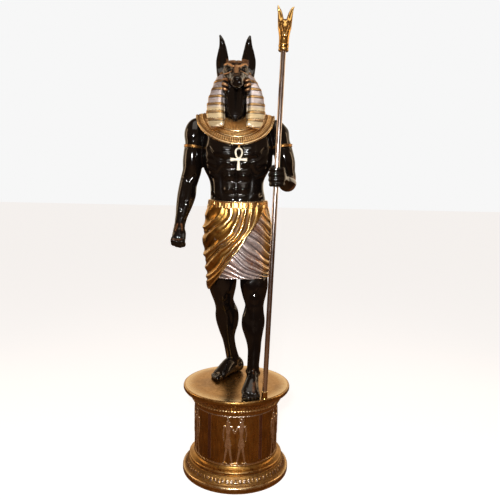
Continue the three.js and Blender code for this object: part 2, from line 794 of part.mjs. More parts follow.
/** The whole figure as one cast solid, with flat soles and a bore through the fist for the staff. */
function figure() {
  const toesOut = THREE.MathUtils.degToRad(-41);
  const toesIn = THREE.MathUtils.degToRad(-4);
  const pieces = [
    torso(), hangingArm(), raisedUpperArm(), raisedForearm(), ...hangingFingers(), ...grippingFingers(),
    armlet(-251, 1272, 46, -0.1), armlet(217, 1283, 49, 0.14), backLeg(), frontLeg(),
    ...foot(new THREE.Vector3(24, 208, 0), toesOut, 1), ...foot(new THREE.Vector3(92, -22, 0), toesIn, -1),
    neck(), head(), lappet(-1), lappet(1), headdressTail(), broadCollar(), ...pendant(), kilt(), belt(),
  ];
  const whole = joined(pieces.map(raised));
  const lifted = [ear(-1), ear(1), headdress()].map((body) => solid(raised(geometryOf(body))));
  const dressed = lifted.reduce((sum, body) => sum.add(body), whole);
  const underfoot = new THREE.BoxGeometry(700, 700, 60).translate(0, 0, PLINTH_HEIGHT - 30 + CLEARANCE);
  const bore = onStaff(bar(BORE, 260), 980);
  return geometryOf(dressed.subtract(solid(underfoot)).subtract(solid(bore)));
}

const statue = new THREE.Group();

/** Adds a named mesh to the statue. */
function addPiece(name, geometry, finish) {
  const mesh = new THREE.Mesh(geometry, new THREE.MeshStandardMaterial(finish));
  mesh.name = name;
  statue.add(mesh);
}

addPiece('plinth', plinth(), GILT);
addPiece('figure', figure(), BLACK);
addPiece('staff_shaft', onStaff(bar(STAFF_RADIUS, SHAFT_LENGTH), SHAFT_START), STEEL);
addPiece('staff_head', staffHead(), GILT);
addPiece('staff_ferrule', ferrule(), GILT);

export default statue;
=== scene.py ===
"""Looks for a life-size jackal-headed guardian figure on its round relief plinth.

The tables hold millimetres, with heights measured from the plinth's top, and `Shell.publish` turns them into the
frame's metres. Every surface is worked out as a whole array; a few are joined by a voxel skin and carved after that.
"""

import logging
import math
from dataclasses import dataclass
from enum import Enum
from typing import Sequence

import bpy
import numpy as np
from mathutils import Matrix

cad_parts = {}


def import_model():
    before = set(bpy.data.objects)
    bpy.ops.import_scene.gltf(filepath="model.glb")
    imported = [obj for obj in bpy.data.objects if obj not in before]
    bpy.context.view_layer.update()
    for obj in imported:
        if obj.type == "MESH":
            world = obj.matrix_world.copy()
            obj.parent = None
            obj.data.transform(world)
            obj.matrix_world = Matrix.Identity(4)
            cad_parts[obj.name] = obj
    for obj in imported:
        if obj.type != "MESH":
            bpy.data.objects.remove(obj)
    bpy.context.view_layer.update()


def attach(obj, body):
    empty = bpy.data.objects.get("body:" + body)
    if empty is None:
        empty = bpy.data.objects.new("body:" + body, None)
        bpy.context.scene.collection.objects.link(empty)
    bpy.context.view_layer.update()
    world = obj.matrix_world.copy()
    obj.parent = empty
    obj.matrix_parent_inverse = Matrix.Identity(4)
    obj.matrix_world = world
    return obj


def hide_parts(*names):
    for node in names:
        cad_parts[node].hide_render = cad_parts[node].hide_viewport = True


Array = np.ndarray
Row = tuple[float, ...]
Colour = tuple[float, float, float, float]
Socket = bpy.types.NodeSocket

log = logging.getLogger("guardian")

MM = 0.001
PLINTH_TOP = 480.0
SLAB_RADIUS = 290.0
DRUM_RADIUS = 224.0
TURN = 2.0 * math.pi
FRONT = (0.0, -1.0, 0.0)
BACK = (0.0, 1.0, 0.0)
LEFT = (-1.0, 0.0, 0.0)
RIGHT = (1.0, 0.0, 0.0)
UP = (0.0, 0.0, 1.0)


# Curves and humps


def through(knots: Array, rows: Array, at: Array) -> Array:
    """Smooth rows on a curve through the given ones.

    Between two knots it is a cubic whose slope at each knot is that of the line joining the knot's neighbours.

    Args:
        knots: rising numbers, one for each row.
        rows: the rows to pass through.
        at: where on the knots' scale to read the curve.

    Returns:
        One row for each value of `at`.
    """
    knots = np.asarray(knots, float)
    rows = np.asarray(rows, float)
    slope = np.empty_like(rows)
    slope[1:-1] = (rows[2:] - rows[:-2]) / (knots[2:] - knots[:-2])[:, None]
    slope[0] = 1.5 * (rows[1] - rows[0]) / (knots[1] - knots[0]) - 0.5 * slope[1]
    slope[-1] = 1.5 * (rows[-1] - rows[-2]) / (knots[-1] - knots[-2]) - 0.5 * slope[-2]
    i = np.clip(np.searchsorted(knots, at, side="right") - 1, 0, len(knots) - 2)
    step = (knots[i + 1] - knots[i])[:, None]
    t = np.clip((at - knots[i])[:, None] / step, 0.0, 1.0)
    return (
        rows[i] * (2 * t**3 - 3 * t**2 + 1)
        + slope[i] * step * (t**3 - 2 * t**2 + t)
        + rows[i + 1] * (3 * t**2 - 2 * t**3)
        + slope[i + 1] * step * (t**3 - t**2)
    )


def rise(x: Array, low: float, high: float) -> Array:
    """A smooth step: 0 below `low`, 1 above `high`, and 3t^2 - 2t^3 between them."""
    t = np.clip((np.asarray(x, float) - low) / (high - low), 0.0, 1.0)
    return t * t * (3.0 - 2.0 * t)


def hump(distance: Array, reach: float) -> Array:
    """A smooth hump, (1 - d^2)^2, that is 1 at the middle and 0 from one reach away."""
    share = np.minimum(1.0, np.abs(distance) / reach)
    return (1.0 - share**2) ** 2


def powered(value: Array, power: float) -> Array:
    """A cosine or sine squared off: its size raised to 2 / power, with its sign kept."""
    return np.sign(value) * np.abs(value) ** (2.0 / power)


def unit(vectors: Array) -> Array:
    """Vectors brought to length 1."""
    return vectors / np.maximum(np.linalg.norm(vectors, axis=-1, keepdims=True), 1e-9)


def ripple(phase: Array, sharp: float = 1.0) -> Array:
    """A wave from -1 to 1 with a whole turn for each 1 of phase; above 1, `sharp` narrows its crests."""
    return 2.0 * (0.5 + 0.5 * np.cos(TURN * phase)) ** sharp - 1.0


@dataclass(frozen=True)
class Limb:
    """Oval sections along a smooth path.

    A row is x, y, z, half width, half depth on the first side and on the second. The width lies along `across`; the
    first side is the one that (path x across) points to: the front on a limb that runs down, the back on one that
    runs up and the top on one that runs forward.
    """

    rows: tuple[Row, ...]
    across: tuple[float, float, float] = RIGHT
    sides: int = 64
    spacing: float = 6.0
    square: float = 2.0

    def grid(self) -> Array:
        """Rings of points: middle + wide * w * cos^(2/q) + deep * d * sin^(2/q).

        Returns:
            Points as rings by sides by three.
        """
        rows = np.array(self.rows, float)
        reach = np.linalg.norm(np.diff(rows[:, :4], axis=0), axis=1)
        knots = np.concatenate([[0.0], np.cumsum(reach)])
        count = max(len(rows), int(knots[-1] / self.spacing) + 1)
        rows = through(knots, rows, np.linspace(0.0, knots[-1], count))
        return self.rings(rows)

    def rings(self, rows: Array) -> Array:
        """Rings of points for rows that are already smooth."""
        middle = rows[:, :3]
        along = unit(np.gradient(middle, axis=0))
        across = np.array(self.across, float)
        wide = unit(across - (along @ across)[:, None] * along)
        deep = np.cross(along, wide)
        angle = np.arange(self.sides) / self.sides * TURN
        cos = powered(np.cos(angle), self.square)
        sin = powered(np.sin(angle), self.square)
        depth = np.where(sin > 0.0, rows[:, 4:5], rows[:, 5:6]) * sin
        width = rows[:, 3:4] * cos
        return middle[:, None] + wide[:, None] * width[..., None] + deep[:, None] * depth[..., None]


class Shell:
    """Closed surfaces gathered into one piece: points in millimetres, and faces of four and three corners."""

    def __init__(self, name: str) -> None:
        """Starts an empty piece with the given name."""
        self.name = name
        self.points: list[Array] = []
        self.quads: list[Array] = []
        self.triangles: list[Array] = []
        self.count = 0

    def _keep(self, points: Array, quads: Array, triangles: Array) -> None:
        """Adds one closed surface, turned outward by the sign of the volume that its faces span."""
        corners = points[quads]
        volume = np.einsum("ij,ij->", corners[:, 0], np.cross(corners[:, 1], corners[:, 2]))
        volume += np.einsum("ij,ij->", corners[:, 0], np.cross(corners[:, 2], corners[:, 3]))
        if len(triangles):
            tips = points[triangles]
            volume += np.einsum("ij,ij->", tips[:, 0], np.cross(tips[:, 1], tips[:, 2]))
        if volume < 0.0:
            quads, triangles = quads[:, ::-1], triangles[:, ::-1]
        self.points.append(points)
        self.quads.append(quads + self.count)
        self.triangles.append(triangles + self.count)
        self.count += len(points)

    def limb(self, grid: Array) -> None:
        """Adds rings of points as a closed skin, with a fan to the middle of the first and last ring."""
        rings, sides = grid.shape[:2]
        index = np.arange(rings * sides).reshape(rings, sides)
        beside = np.roll(index, -1, axis=1)
        quads = np.stack([index[:-1], beside[:-1], beside[1:], index[1:]], axis=-1).reshape(-1, 4)
        first, last = rings * sides, rings * sides + 1
        start = np.stack([np.full(sides, first), beside[0], index[0]], axis=-1)
        end = np.stack([np.full(sides, last), index[-1], beside[-1]], axis=-1)
        poles = np.stack([grid[0].mean(axis=0), grid[-1].mean(axis=0)])
        points = np.vstack([grid.reshape(-1, 3), poles])
        self._keep(points, quads, np.vstack([start, end]))

    def tyre(self, grid: Array) -> None:
        """Adds rings of points that come back to the first ring, like a tyre."""
        rings, sides = grid.shape[:2]
        index = np.arange(rings * sides).reshape(rings, sides)
        beside = np.roll(index, -1, axis=1)
        quads = np.stack([index, beside, np.roll(beside, -1, axis=0), np.roll(index, -1, axis=0)], axis=-1)
        self._keep(grid.reshape(-1, 3), quads.reshape(-1, 4), np.empty((0, 3), int))

    def sheet(self, outer: Array, inner: Array) -> None:
        """Adds a thick sheet: two grids of the same size, stitched along their four borders."""
        rows, columns = outer.shape[:2]
        top = np.arange(rows * columns).reshape(rows, columns)
        low = top + rows * columns

        def faces(a: Array, b: Array, c: Array, d: Array) -> Array:
            """Faces of four corners from four arrays of indices."""
            return np.stack([a.ravel(), b.ravel(), c.ravel(), d.ravel()], axis=-1)

        quads = [
            faces(top[:-1, :-1], top[:-1, 1:], top[1:, 1:], top[1:, :-1]),
            faces(low[1:, :-1], low[1:, 1:], low[:-1, 1:], low[:-1, :-1]),
            faces(top[:-1, 0], top[1:, 0], low[1:, 0], low[:-1, 0]),
            faces(top[1:, -1], top[:-1, -1], low[:-1, -1], low[1:, -1]),
            faces(top[0, 1:], top[0, :-1], low[0, :-1], low[0, 1:]),
            faces(top[-1, :-1], top[-1, 1:], low[-1, 1:], low[-1, :-1]),
        ]
        points = np.vstack([outer.reshape(-1, 3), inner.reshape(-1, 3)])
        self._keep(points, np.vstack(quads), np.empty((0, 3), int))

    def publish(self) -> bpy.types.Object:
        """Makes the piece's object, in metres, with smooth shading.

        Returns:
            The object, at the origin, with its place in its mesh.
        """
        points = np.vstack(self.points) * MM + np.array([0.0, 0.0, PLINTH_TOP * MM])
        quads = np.vstack(self.quads)
        triangles = np.vstack(self.triangles)
        mesh = bpy.data.meshes.new(self.name)
        mesh.vertices.add(len(points))
        mesh.vertices.foreach_set("co", points.astype(np.float32).ravel())
        corners = np.concatenate([quads.ravel(), triangles.ravel()]).astype(np.int32)
        mesh.loops.add(len(corners))
        mesh.loops.foreach_set("vertex_index", corners)
        sizes = np.concatenate([np.full(len(quads), 4), np.full(len(triangles), 3)])
        starts = np.concatenate([[0], np.cumsum(sizes)[:-1]]).astype(np.int32)
        mesh.polygons.add(len(sizes))
        mesh.polygons.foreach_set("loop_start", starts)
        mesh.update(calc_edges=True)
        mesh.validate()
        mesh.shade_smooth()
        piece = bpy.data.objects.new(self.name, mesh)
        bpy.context.scene.collection.objects.link(piece)
        return piece


def voxel_joined(piece: bpy.types.Object, voxel: float) -> None:
    """Joins the overlapping surfaces of a piece into one even skin.

    Args:
        piece: the piece, whose mesh is replaced.
        voxel: size of the skin's cells, in millimetres.
    """
    remesh = piece.modifiers.new("one_skin", "REMESH")
    remesh.mode = "VOXEL"
    remesh.voxel_size = voxel * MM
    bpy.context.view_layer.update()
    evaluated = piece.evaluated_get(bpy.context.evaluated_depsgraph_get())
    mesh = bpy.data.meshes.new_from_object(evaluated)
    piece.modifiers.clear()
    piece.data = mesh
    mesh.name = piece.name
    mesh.shade_smooth()


@dataclass(frozen=True)
class Stroke:
    """A soft line raised from a skin, or pressed into it where `lift` is negative.

    Its height is lift * exp(-(distance / width)^2), with the distance taken to a line through the given points. With
    `facing` the distance is read in the view along that way, on the parts of the skin that look that way.
    """

    width: float
    lift: float
    path: tuple[tuple[float, float, float], ...]
    facing: tuple[float, float, float] | None = None

    def strength(self, points: Array, normals: Array) -> Array:
        """How strongly the stroke acts on each point, from 0 to 1."""
        path = np.array(self.path, float)
        view = None if self.facing is None else np.array(self.facing, float)
        if view is not None:
            path = path - (path @ view)[:, None] * view
            points = points - (points @ view)[:, None] * view
        near = np.ones(len(points), bool)
        reach = 3.0 * self.width
        for axis in range(3):
            near &= points[:, axis] > path[:, axis].min() - reach
            near &= points[:, axis] < path[:, axis].max() + reach
        strength = np.zeros(len(points))
        spots = points[near]
        if not len(spots):
            return strength
        distance = np.linalg.norm(spots - path[0], axis=1)
        for start, end in zip(path[:-1], path[1:]):
            run = end - start
            share = np.clip(((spots - start) @ run) / max(run @ run, 1e-9), 0.0, 1.0)
            distance = np.minimum(distance, np.linalg.norm(spots - start - share[:, None] * run, axis=1))
        strength[near] = np.exp(-((distance / self.width) ** 2))
        if view is not None:
            strength *= rise(normals @ view, 0.0, 0.45)
        return strength

    def mirrored(self, middle: float) -> "Stroke":
        """The same stroke on the other side of x = middle."""
        path = tuple((2.0 * middle - x, y, z) for x, y, z in self.path)
        facing = None if self.facing is None else (-self.facing[0], self.facing[1], self.facing[2])
        return Stroke(self.width, self.lift, path, facing)


def flat_stroke(width: float, lift: float, facing: tuple[float, float, float], *path: tuple[float, float]) -> Stroke:
    """A stroke drawn in the front or back view, from points given as x and z."""
    return Stroke(width, lift, tuple((x, 0.0, z) for x, z in path), facing)


def both_sides(strokes: Sequence[Stroke], middle: float) -> list[Stroke]:
    """Strokes together with their mirror images about x = middle."""
    return [*strokes, *(stroke.mirrored(middle) for stroke in strokes)]


class Carving:
    """A piece's skin while it is carved, with its points and normals as whole arrays in millimetres."""

    def __init__(self, piece: bpy.types.Object) -> None:
        """Reads the piece's points, edges and normals."""
        self.piece = piece
        mesh = piece.data
        points = np.empty(len(mesh.vertices) * 3, np.float32)
        mesh.vertices.foreach_get("co", points)
        self.points = points.reshape(-1, 3).astype(float) / MM - np.array([0.0, 0.0, PLINTH_TOP])
        edges = np.empty(len(mesh.edges) * 2, np.int32)
        mesh.edges.foreach_get("vertices", edges)
        self.edges = edges.reshape(-1, 2)
        self.valence = np.maximum(1.0, np.bincount(self.edges.ravel(), minlength=len(self.points)))
        self.read_normals()

    def read_normals(self) -> None:
        """Takes the normals that the mesh has now."""
        normals = np.empty(len(self.points) * 3, np.float32)
        self.piece.data.vertex_normals.foreach_get("vector", normals)
        self.normals = normals.reshape(-1, 3).astype(float)

    def write(self) -> None:
        """Puts the points back into the mesh and takes the new normals."""
        points = (self.points + np.array([0.0, 0.0, PLINTH_TOP])) * MM
        self.piece.data.vertices.foreach_set("co", points.astype(np.float32).ravel())
        self.piece.data.update()
        self.read_normals()

    def neighbour_mean(self, values: Array) -> Array:
        """The mean of each point's neighbours, for values of one or more columns."""
        a, b = self.edges.T
        flat = values.reshape(len(values), -1)
        total = [
            np.bincount(a, column[b], len(values)) + np.bincount(b, column[a], len(values)) for column in flat.T
        ]
        return (np.stack(total, axis=1) / self.valence[:, None]).reshape(values.shape)

    def relax(self, rounds: int, hold: float = 0.53) -> None:
        """Smooths the skin without shrinking it: each round moves points half way in, then slightly more out.

        Args:
            rounds: how many pairs of moves.
            hold: the outward move, which keeps thin forms from shrinking.
        """
        for _ in range(rounds):
            self.points += 0.5 * (self.neighbour_mean(self.points) - self.points)
            self.points -= hold * (self.neighbour_mean(self.points) - self.points)
        self.write()

    def soften(self, rounds: int) -> None:
        """Plain smoothing, which rounds off the creases where surfaces were joined."""
        for _ in range(rounds):
            self.points += 0.5 * (self.neighbour_mean(self.points) - self.points)
        self.write()

    def press(self, strokes: Sequence[Stroke], where: Array | float = 1.0) -> None:
        """Raises and presses the strokes along the skin's normals, as far as `where` lets them, and reads it again."""
        height = where * sum(stroke.lift * stroke.strength(self.points, self.normals) for stroke in strokes)
        self.points += self.normals * height[:, None]
        self.write()

    def relief(self, rounds: int, span: float) -> Array:
        """How far each point stands over the smoothed skin, as 0.5 where level, and 0 or 1 one span away."""
        smooth = self.points.copy()
        for _ in range(rounds):
            smooth += 0.5 * (self.neighbour_mean(smooth) - smooth)
        height = np.einsum("ij,ij->i", self.points - smooth, self.normals)
        return np.clip(0.5 + 0.5 * height / span, 0.0, 1.0)

    def paint(self, name: str, values: Array) -> None:
        """Keeps one number for each point as an attribute that a material reads."""
        attribute = self.piece.data.attributes.new(name, "FLOAT", "POINT")
        attribute.data.foreach_set("value", values.astype(np.float32))

    def dabs(self, strokes: Sequence[Stroke]) -> Array:
        """The strokes as a mask from 0 to 1, each stroke's lift being how strong it is."""
        mask = sum(stroke.lift * stroke.strength(self.points, self.normals) for stroke in strokes)
        return np.clip(mask, 0.0, 1.0)


# Materials


class Bench:
    """Adds and joins the nodes of one material or node group."""

    def __init__(self, tree: bpy.types.NodeTree) -> None:
        """Works on the given tree."""
        self.tree = tree

    def feed(self, socket: Socket, value: Socket | float | Sequence[float]) -> None:
        """Joins a socket to another, or sets its value."""
        if isinstance(value, bpy.types.NodeSocket):
            self.tree.links.new(value, socket)
        else:
            socket.default_value = value

    def add(self, kind: str, inputs: dict | None = None, **settings: object) -> bpy.types.Node:
        """Adds a node of a kind, with its settings and its inputs by name or place."""
        node = self.tree.nodes.new(kind)
        for name, value in settings.items():
            setattr(node, name, value)
        for name, value in (inputs or {}).items():
            self.feed(node.inputs[name], value)
        return node

    def calc(self, operation: str, a: Socket | float, b: Socket | float = 0.0, clamp: bool = False) -> Socket:
        """One sum on two numbers."""
        node = self.add("ShaderNodeMath", {0: a, 1: b}, operation=operation, use_clamp=clamp)
        return node.outputs[0]

    def ramp(self, value: Socket | float, low: float, high: float, to: tuple[float, float] = (0.0, 1.0)) -> Socket:
        """A smooth step of a number from `low` to `high`, given out between the two numbers of `to`."""
        inputs = {"Value": value, "From Min": low, "From Max": high, "To Min": to[0], "To Max": to[1]}
        return self.add("ShaderNodeMapRange", inputs, interpolation_type="SMOOTHSTEP").outputs[0]

    def mix(self, share: Socket | float, a: Socket | Colour, b: Socket | Colour) -> Socket:
        """A colour between two others."""
        node = self.add("ShaderNodeMix", {0: share, 6: a, 7: b}, data_type="RGBA")
        return node.outputs[2]

    def between(self, share: Socket | float, a: Socket | float, b: Socket | float) -> Socket:
        """A number between two others."""
        return self.add("ShaderNodeMix", {0: share, 2: a, 3: b}, data_type="FLOAT").outputs[0]

    def place(self) -> Socket:
        """The point's place on the object."""
        return self.add("ShaderNodeTexCoord").outputs["Object"]

    def mark(self, name: str) -> Socket:
        """A number kept on the mesh for each point."""
        return self.add("ShaderNodeAttribute", attribute_name=name).outputs["Fac"]

    def noise(self, scale: float, detail: float = 4.0, roughness: float = 0.55, stretch: Row = (1, 1, 1)) -> Socket:
        """A cloudy pattern about 0.5, `stretch` squeezing it along each axis."""
        place = self.add("ShaderNodeMapping", {"Vector": self.place(), "Scale": stretch}).outputs[0]
        inputs = {"Vector": place, "Scale": scale, "Detail": detail, "Roughness": roughness}
        return self.add("ShaderNodeTexNoise", inputs).outputs[0]

    def bump(self, height: Socket, distance: float, strength: float = 1.0) -> Socket:
        """A normal from a height, with `distance` in metres."""
        inputs = {"Height": height, "Distance": distance, "Strength": strength}
        return self.add("ShaderNodeBump", inputs).outputs[0]

    def group(self, tree: bpy.types.NodeTree, inputs: dict) -> bpy.types.Node:
        """Places a shared group with its own values."""
        node = self.add("ShaderNodeGroup", node_tree=tree)
        for name, value in inputs.items():
            self.feed(node.inputs[name], value)
        return node


class SharedEffects:
    """The node groups that more than one finish uses, each built once."""

    def __init__(self) -> None:
        """Builds the groups."""
        self.gilding = self._gilding_wear_and_shading()
        self.grain = self._casting_grain()

    @staticmethod
    def _open(name: str, inputs: dict[str, tuple[str, object]], outputs: dict[str, str]) -> tuple[Bench, dict, dict]:
        """Starts a group with named sockets, each given as its kind and value."""
        tree = bpy.data.node_groups.new(name, "ShaderNodeTree")
        for label, (kind, value) in inputs.items():
            socket = tree.interface.new_socket(name=label, in_out="INPUT", socket_type=kind)
            socket.default_value = value
        for label, kind in outputs.items():
            tree.interface.new_socket(name=label, in_out="OUTPUT", socket_type=kind)
        bench = Bench(tree)
        incoming = bench.add("NodeGroupInput").outputs
        outgoing = bench.add("NodeGroupOutput").inputs
        return bench, {s.name: s for s in incoming if s.name}, {s.name: s for s in outgoing if s.name}

    def _gilding_wear_and_shading(self) -> bpy.types.NodeTree:
        """Gold brighter on the crests and darker in the recesses: rubbed wear and a dark wash in carved detail, and
        painted highlight and painted shade on the kilt's broad folds.
        """
        bench, given, out = self._open(
            "gilding_wear_and_shading",
            {
                "Relief": ("NodeSocketFloat", 0.5),
                "Gold": ("NodeSocketColor", (0.6, 0.36, 0.1, 1.0)),
                "Bright": ("NodeSocketColor", (0.9, 0.65, 0.3, 1.0)),
                "Wash And Shade": ("NodeSocketColor", (0.06, 0.025, 0.01, 1.0)),
                "Mottle": ("NodeSocketFloat", 60.0),
                "Base Roughness": ("NodeSocketFloat", 0.3),
            },
            {"Color": "NodeSocketColor", "Roughness": "NodeSocketFloat", "Metallic": "NodeSocketFloat"},
        )
        place = bench.place()
        fine = bench.add("ShaderNodeTexNoise", {"Vector": place, "Scale": given["Mottle"], "Detail": 5.0}).outputs[0]
        wide_scale = bench.calc("MULTIPLY", given["Mottle"], 0.16)
        wide = bench.add("ShaderNodeTexNoise", {"Vector": place, "Scale": wide_scale, "Detail": 3.0}).outputs[0]
        shaken = bench.calc("MULTIPLY", bench.calc("SUBTRACT", fine, 0.5), 0.22)
        level = bench.calc("ADD", given["Relief"], shaken)
        # Crests painted brighter and recesses darker: wear and wash on carvings, and painted highlight and painted
        # shade on the kilt's folds.
        crest = bench.ramp(level, 0.56, 0.82)
        recess = bench.ramp(level, 0.44, 0.2)
        aged = bench.mix(bench.ramp(wide, 0.42, 0.68, (0.0, 0.35)), given["Gold"], given["Wash And Shade"])
        brightened = bench.mix(crest, aged, given["Bright"])
        wash_and_shade_share = bench.calc("MULTIPLY", recess, 0.88)
        bench.feed(out["Color"], bench.mix(wash_and_shade_share, brightened, given["Wash And Shade"]))
        cloudy = bench.ramp(fine, 0.3, 0.7, (-0.05, 0.07))
        rough = bench.calc("ADD", bench.calc("ADD", given["Base Roughness"], cloudy), bench.calc("MULTIPLY", recess, 0.25))
        bench.feed(out["Roughness"], bench.calc("SUBTRACT", rough, bench.calc("MULTIPLY", crest, 0.06)))
        bench.feed(out["Metallic"], bench.calc("SUBTRACT", 1.0, bench.calc("MULTIPLY", recess, 0.7)))
        return bench.tree

    def _casting_grain(self) -> bpy.types.NodeTree:
        """The faint waviness and pits of a hand-finished casting, as a height."""
        bench, given, out = self._open(
            "casting_grain",
            {"Wave Scale": ("NodeSocketFloat", 25.0), "Pit Scale": ("NodeSocketFloat", 300.0)},
            {"Height": "NodeSocketFloat"},
        )
        place = bench.place()
        wave = bench.add("ShaderNodeTexNoise", {"Vector": place, "Scale": given["Wave Scale"], "Detail": 2.0}).outputs[0]
        pits = bench.add("ShaderNodeTexNoise", {"Vector": place, "Scale": given["Pit Scale"], "Detail": 2.0}).outputs[0]
        deep = bench.ramp(pits, 0.62, 0.72, (0.0, -0.25))
        bench.feed(out["Height"], bench.calc("ADD", wave, deep))
        return bench.tree


def new_material(name: str) -> tuple[Bench, bpy.types.Node]:
    """Starts a material and gives its bench and its principled shader."""
    material = bpy.data.materials.new(name)
    material.use_nodes = True
    bench = Bench(material.node_tree)
    shader = next(node for node in material.node_tree.nodes if node.type == "BSDF_PRINCIPLED")
    return bench, shader


def rgb(red: float, green: float, blue: float) -> Colour:
    """A colour in linear light, fully opaque."""
    return (red, green, blue, 1.0)


@dataclass(frozen=True)
class GildFinish:
    """Metal paint whose look follows the piece's relief."""

    name: str
    gold: Colour
    bright: Colour
    wash_and_shade: Colour
    mottle: float
    roughness: float
    grain: float = 0.0006

    def material(self, shared: SharedEffects) -> bpy.types.Material:
        """Builds the material."""
        bench, shader = new_material(self.name)
        worn = bench.group(
            shared.gilding,
            {
                "Relief": bench.mark("relief"),
                "Gold": self.gold,
                "Bright": self.bright,
                "Wash And Shade": self.wash_and_shade,
                "Mottle": self.mottle,
                "Base Roughness": self.roughness,
            },
        )
        for name, out in (("Base Color", "Color"), ("Roughness", "Roughness"), ("Metallic", "Metallic")):
            bench.feed(shader.inputs[name], worn.outputs[out])
        grain = bench.group(shared.grain, {"Wave Scale": 60.0, "Pit Scale": 500.0})
        bench.feed(shader.inputs["Normal"], bench.bump(grain.outputs[0], self.grain))
        return bpy.data.materials[self.name]


@dataclass(frozen=True)
class LacquerFinish:
    """Deep gloss enamel, turning bronze where the piece's `bloom` mark says."""

    name: str
    body: Colour
    bronze: Colour
    crest: Colour
    roughness: float

    def material(self) -> bpy.types.Material:
        """Builds the material."""
        bench, shader = new_material(self.name)
        fine = bench.noise(150.0, 5.0, 0.7)
        bloom = bench.calc("ADD", bench.mark("bloom"), bench.calc("MULTIPLY", bench.calc("SUBTRACT", fine, 0.5), 0.9))
        bronze_share = bench.calc("MULTIPLY", bench.ramp(bloom, 0.3, 0.7), bench.ramp(bench.mark("bloom"), 0.02, 0.2))
        brightened = bench.mix(bench.ramp(bloom, 0.6, 1.1), self.bronze, self.crest)
        bench.feed(shader.inputs["Base Color"], bench.mix(bronze_share, self.body, brightened))
        bench.feed(shader.inputs["Metallic"], bench.calc("MULTIPLY", bronze_share, 0.6))
        cloudy = bench.ramp(bench.noise(18.0), 0.3, 0.7, (self.roughness - 0.03, self.roughness + 0.05))
        bench.feed(shader.inputs["Roughness"], bench.between(bronze_share, cloudy, 0.36))
        bench.feed(shader.inputs["Normal"], bench.bump(bench.noise(20.0, 1.0), 0.0006))
        return bpy.data.materials[self.name]


# Placing pieces


class Slot(Enum):
    """The record's material slots, with the CAD node that a piece of each one stands for."""

    PLINTH = ("gilt_plinth", "plinth")
    FIGURE = ("figure_black", "figure")
    SHAFT = ("steel_tube", "staff_shaft")
    HEAD = ("gilt_finial", "staff_head")
    FERRULE = ("gilt_ferrule", "staff_ferrule")


def settle(piece: bpy.types.Object, slot: Slot, material: bpy.types.Material) -> bpy.types.Object:
    """Dresses a finished piece and ties it to the frame.

    Args:
        piece: the finished object.
        slot: which node it stands for, whose CAD part it hides.
        material: its material.

    Returns:
        The piece.
    """
    piece.data.materials.clear()
    piece.data.materials.append(material)
    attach(piece, "root")
    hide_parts(slot.value[1])
    log.info("%s: %d points, %d faces", piece.name, len(piece.data.vertices), len(piece.data.polygons))
    return piece


@dataclass(frozen=True)
class Finishes:
    """All materials of the statue, by what they dress."""

    lacquer: bpy.types.Material
    dress_gold: bpy.types.Material
    cloth_gold: bpy.types.Material
    pewter: bpy.types.Material
    banded: bpy.types.Material
    ivory: bpy.types.Material
    plinth: bpy.types.Material
    steel: bpy.types.Material
    burnished: bpy.types.Material


@dataclass(frozen=True)
class BandedFinish:
    """The headdress paint: narrow gold rolls and broad bands, silver above and cream below, with painted shade in the
    creases between them.
    """

    name: str = "banded_headdress"
    gold: Colour = rgb(0.62, 0.36, 0.11)
    silver: Colour = rgb(0.78, 0.73, 0.76)
    cream: Colour = rgb(0.95, 0.78, 0.47)
    crease_shade: Colour = rgb(0.06, 0.025, 0.012)
    change_height: float = 1.95

    def material(self, shared: SharedEffects) -> bpy.types.Material:
        """Builds the material from the marks `band`, 0 to 1 down each stripe, and `relief`."""
        bench, shader = new_material(self.name)
        band = bench.mark("band")
        height = bench.add("ShaderNodeSeparateXYZ", {0: bench.place()}).outputs[2]
        lower = bench.ramp(height, self.change_height + 0.02, self.change_height - 0.02)
        broad = bench.mix(lower, self.silver, self.cream)
        smudge = bench.ramp(bench.noise(26.0, 6.0, 0.65, (1.0, 1.0, 4.0)), 0.45, 0.75, (0.0, 0.65))
        broad = bench.mix(smudge, broad, self.gold)
        roll = bench.calc("MULTIPLY", bench.ramp(band, 0.0, 0.05), bench.ramp(band, 0.34, 0.28))
        # Painted shade: dark colour in the grooves before and after each roll.
        crease = bench.calc("MAXIMUM", bench.ramp(band, 0.045, 0.0), bench.ramp(band, 0.975, 1.0))
        inner = bench.calc("MULTIPLY", bench.ramp(band, 0.28, 0.33), bench.ramp(band, 0.41, 0.36))
        painted = bench.mix(roll, broad, self.gold)
        dark = bench.calc("MAXIMUM", crease, bench.calc("MULTIPLY", inner, 0.75))
        painted = bench.mix(dark, painted, self.crease_shade)
        worn = bench.group(
            shared.gilding,
            {
                "Relief": bench.mark("relief"),
                "Gold": painted,
                "Bright": bench.mix(0.35, painted, rgb(1.0, 0.93, 0.8)),
                "Wash And Shade": self.crease_shade,
                "Mottle": 45.0,
                "Base Roughness": 0.34,
            },
        )
        bench.feed(shader.inputs["Base Color"], worn.outputs["Color"])
        bench.feed(shader.inputs["Roughness"], worn.outputs["Roughness"])
        plain = bench.between(lower, 0.7, 0.45)
        shine = bench.calc("MULTIPLY", worn.outputs["Metallic"], bench.between(roll, plain, 0.9))
        bench.feed(shader.inputs["Metallic"], shine)
        grain = bench.group(shared.grain, {"Wave Scale": 60.0, "Pit Scale": 500.0})
        bench.feed(shader.inputs["Normal"], bench.bump(grain.outputs[0], 0.0006))
        return bpy.data.materials[self.name]


